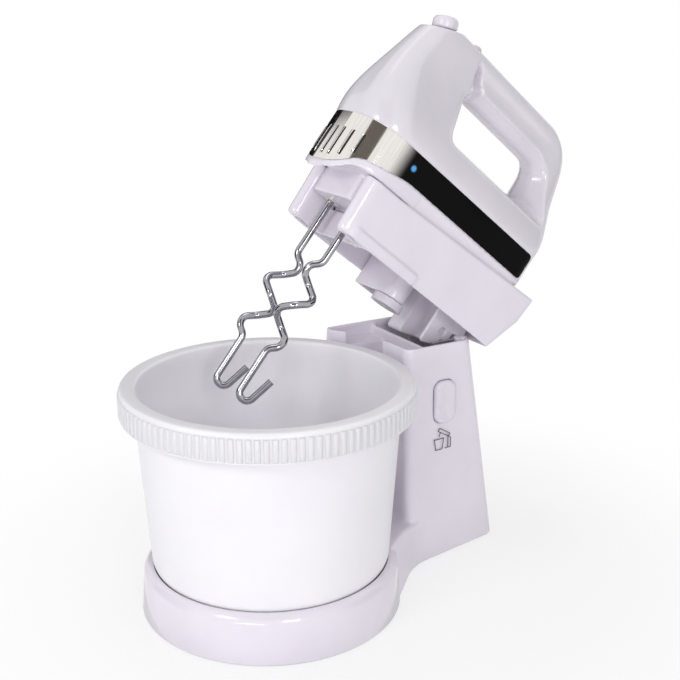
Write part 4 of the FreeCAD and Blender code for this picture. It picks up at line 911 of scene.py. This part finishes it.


# Louvres pressed in the steel nose: a raised lip along one side of each slot, and a dark strip behind each
# slot as painted shade, where white plastic lies behind it.
louvreLook = {
    "count": 7, "pitch": 10.0, "half": 42.0, "noseY": -9.0, "noseR": 35.0, "top": 254.5, "margin": 5.5,
    "dipY": 2.0, "dipZ": 237.5, "dipSlope": math.radians(50.0), "rings": 14, "riseGain": 1.6,
    "risePower": 0.6,
    "lip": [(-2.9, -0.4), (-2.6, 0.08), (-1.8, 0.45), (-1.05, 0.65), (-0.85, 0.4), (-0.85, -0.4)],
    # section of the dark strip that paints shade into each slot
    "slotShadeStrip": [(-0.88, -1.0), (-0.88, -0.35), (0.88, -0.35), (0.88, -1.0)],
}


def alongLouvres(section, ease):
    # a section in (along the surface, out of it) millimetres swept up every slot
    look = louvreLook
    verts = []
    faces = []
    flat = look["half"] - look["noseR"]
    rings = look["rings"]
    for i in range(look["count"]):
        along = (i - (look["count"] - 1) / 2) * look["pitch"]
        side = math.copysign(1, along)
        turn = max(abs(along) - flat, 0) / look["noseR"]
        x = side * (min(abs(along), flat) + look["noseR"] * math.sin(turn))
        y = look["noseY"] + look["noseR"] * (1 - math.cos(turn))
        out = Vector((side * math.sin(turn), -math.cos(turn)))
        run = Vector((math.cos(turn), side * math.sin(turn)))
        low = look["dipZ"] - (look["dipY"] - y) * math.tan(look["dipSlope"]) + look["margin"]
        base = len(verts)
        for k in range(rings + 1):
            z = low + (look["top"] - low) * k / rings
            swell = math.sin(math.pi * k / rings) if 0 < k < rings else 0.0
            rise = min(1.0, look["riseGain"] * swell ** look["risePower"])
            for u, v in section:
                shift = run * u + out * (v * (rise if ease and v > 0 else 1))
                verts.append(headPoint(x + shift.x, y + shift.y, z))
        faces += tubeFaces(base, rings + 1, len(section))
    return outwards(meshFrom("louvres", verts, faces))


def makeLouvres():
    addTo(newPiece("noseLouvres", alongLouvres(louvreLook["lip"], True), "steelToLacquer"), "trim_band")
    # dark strips in the slots: painted shade in place of the white wall behind them
    slotShadeStrip = newPiece("louvreInsides", alongLouvres(louvreLook["slotShadeStrip"], False), "darkRubber")
    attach(slotShadeStrip, bodyOf["trim_band"])


makeLouvres()
print("sign and louvres made")


# Studio: pale floor, soft boxes, boards for the metal to mirror, and the photograph's camera.
lampLooks = {
    "keyBox": {"at": (0.5, -1.5, 1.2), "aim": (0, 0, 0.2), "size": (0.42, 0.42), "power": 5.4},
    "fillBox": {"at": (1.5, -0.4, 0.7), "aim": (0, 0, 0.2), "size": (0.36, 0.36), "power": 4.6},
    "topBox": {"at": (-0.3, 0.2, 1.6), "aim": (0, -0.1, 0.1), "size": (0.7, 0.7), "power": 2.2},
    "leftBox": {"at": (-1.2, -1.6, 0.8), "aim": (0, 0, 0.2), "size": (0.7, 0.7), "power": 2.2},
    "lowBox": {"at": (1.1, -1.2, 0.2), "aim": (0, 0, 0.3), "size": (0.6, 0.24), "power": 3.4},
}
boardLooks = {
    "darkBoardLeft": {"at": (-1.2, 0.2, 0.65), "aim": (0, 0.2, 0.65), "size": (1.0, 1.3),
                      "colour": "#1A1A1C"},
    "darkBoardFront": {"at": (-0.75, -1.2, 0.3), "aim": (0, 0, 0.3), "size": (1.0, 1.4),
                       "colour": "#141416"},
    "darkBoardBack": {"at": (0.75, 1.25, 0.3), "aim": (0, 0, 0.3), "size": (1.0, 1.4), "colour": "#141416"},
    "brownBoard": {"at": (0.584, -0.574, 1.139), "aim": (-0.034, -0.014, 0.35), "size": (0.76, 0.8),
                   "colour": "#7E786F"},
}
worldLevel = 0.58


def flatSheet(name, x, y):
    return meshFrom(name, [(-x, -y, 0), (x, -y, 0), (x, y, 0), (-x, y, 0)], [(0, 1, 2, 3)])


def whiteRays(tree):
    # 1 for the rays that should find white: straight to the eye, through clear pieces or off a gloss
    ray = addNode(tree, "ShaderNodeLightPath").outputs
    seen = addNode(tree, "ShaderNodeMath", {"operation": "MAXIMUM"}, None,
                   {0: ray["Is Camera Ray"], 1: ray["Is Transmission Ray"]})
    mirrored = addNode(tree, "ShaderNodeMath", {"operation": "MAXIMUM"}, None,
                       {0: seen.outputs[0], 1: ray["Is Glossy Ray"]})
    return mirrored.outputs[0]


def makeFloor():
    look = {"size": 6.0, "colour": "#F6F6F8", "shadowShare": 0.3, "fadeFrom": 0.14, "fadeTo": 0.42,
            "gloss": 0.9}
    floor = bpy.data.objects.new("floor", flatSheet("floor", look["size"], look["size"]))
    bpy.context.scene.collection.objects.link(floor)
    material, tree, shader, place = newMaterial("studioFloor")
    shader.inputs["Base Color"].default_value = tone(look["colour"])
    shader.inputs["Roughness"].default_value = look["gloss"]
    reach = addNode(tree, "ShaderNodeVectorMath", {"operation": "LENGTH"}, None, {0: place})
    fade = addNode(tree, "ShaderNodeMapRange", {"interpolation_type": "SMOOTHSTEP"},
                   {"From Min": look["fadeFrom"], "From Max": look["fadeTo"],
                    "To Min": 1 - look["shadowShare"], "To Max": 1.0},
                   {"Value": reach.outputs["Value"]})
    share = addNode(tree, "ShaderNodeMath", {"operation": "MULTIPLY"}, None,
                    {0: fade.outputs[0], 1: whiteRays(tree)})
    white = addNode(tree, "ShaderNodeEmission", None, {"Color": (1, 1, 1, 1), "Strength": 1.0})
    blend = addNode(tree, "ShaderNodeMixShader", None, None,
                    {0: share.outputs[0], 1: shader.outputs[0], 2: white.outputs[0]})
    end = [n for n in tree.nodes if n.type == "OUTPUT_MATERIAL"][0]
    tree.links.new(blend.outputs[0], end.inputs["Surface"])
    floor.data.materials.append(material)


def makeWorld(level):
    world = bpy.data.worlds.new("studio")
    bpy.context.scene.world = world
    world.use_nodes = True
    tree = world.node_tree
    tree.nodes.clear()
    strength = addNode(tree, "ShaderNodeMapRange", None, {"To Min": level, "To Max": 1.0},
                       {"Value": whiteRays(tree)})
    sky = addNode(tree, "ShaderNodeBackground", None, {"Color": (1, 1, 1, 1)},
                  {"Strength": strength.outputs[0]})
    addNode(tree, "ShaderNodeOutputWorld", None, None, {"Surface": sky.outputs[0]})


def aimed(obj, at, aim):
    bpy.context.scene.collection.objects.link(obj)
    obj.location = at
    obj.rotation_euler = (Vector(aim) - Vector(at)).to_track_quat("-Z", "Y").to_euler()


def makeLamp(name, look):
    light = bpy.data.lights.new(name, "AREA")
    light.shape = "RECTANGLE"
    light.size, light.size_y = look["size"]
    light.energy = look["power"]
    aimed(bpy.data.objects.new(name, light), look["at"], look["aim"])


def makeBoard(name, look):
    # a studio board that only reflections see
    wide, tall = look["size"]
    board = bpy.data.objects.new(name, flatSheet(name, wide / 2, tall / 2))
    material, tree, shader, place = newMaterial(name)
    shader.inputs["Base Color"].default_value = tone(look["colour"])
    shader.inputs["Roughness"].default_value = 1.0
    shader.inputs["Specular IOR Level"].default_value = 0.0
    board.data.materials.append(material)
    aimed(board, look["at"], look["aim"])
    board.visible_camera = board.visible_diffuse = False
    board.visible_shadow = board.visible_transmission = False


def makeCamera():
    look = {"sensor": 36.0, "focusPx": 1150, "photoPx": 680, "at": (0.7149, -0.45517, 0.455), "tilt": 72.87,
            "pan": 59.3}
    camera = bpy.data.cameras.new("camera")
    camera.sensor_width = look["sensor"]
    camera.lens = look["sensor"] * look["focusPx"] / look["photoPx"]
    holder = bpy.data.objects.new("camera", camera)
    bpy.context.scene.collection.objects.link(holder)
    holder.location = look["at"]
    holder.rotation_euler = (math.radians(look["tilt"]), 0, math.radians(look["pan"]))
    bpy.context.scene.camera = holder


makeFloor()
makeWorld(worldLevel)
for name, look in lampLooks.items():
    makeLamp(name, look)
for name, look in boardLooks.items():
    makeBoard(name, look)
makeCamera()
bpy.context.scene.view_settings.view_transform = "Standard"
print("studio set")
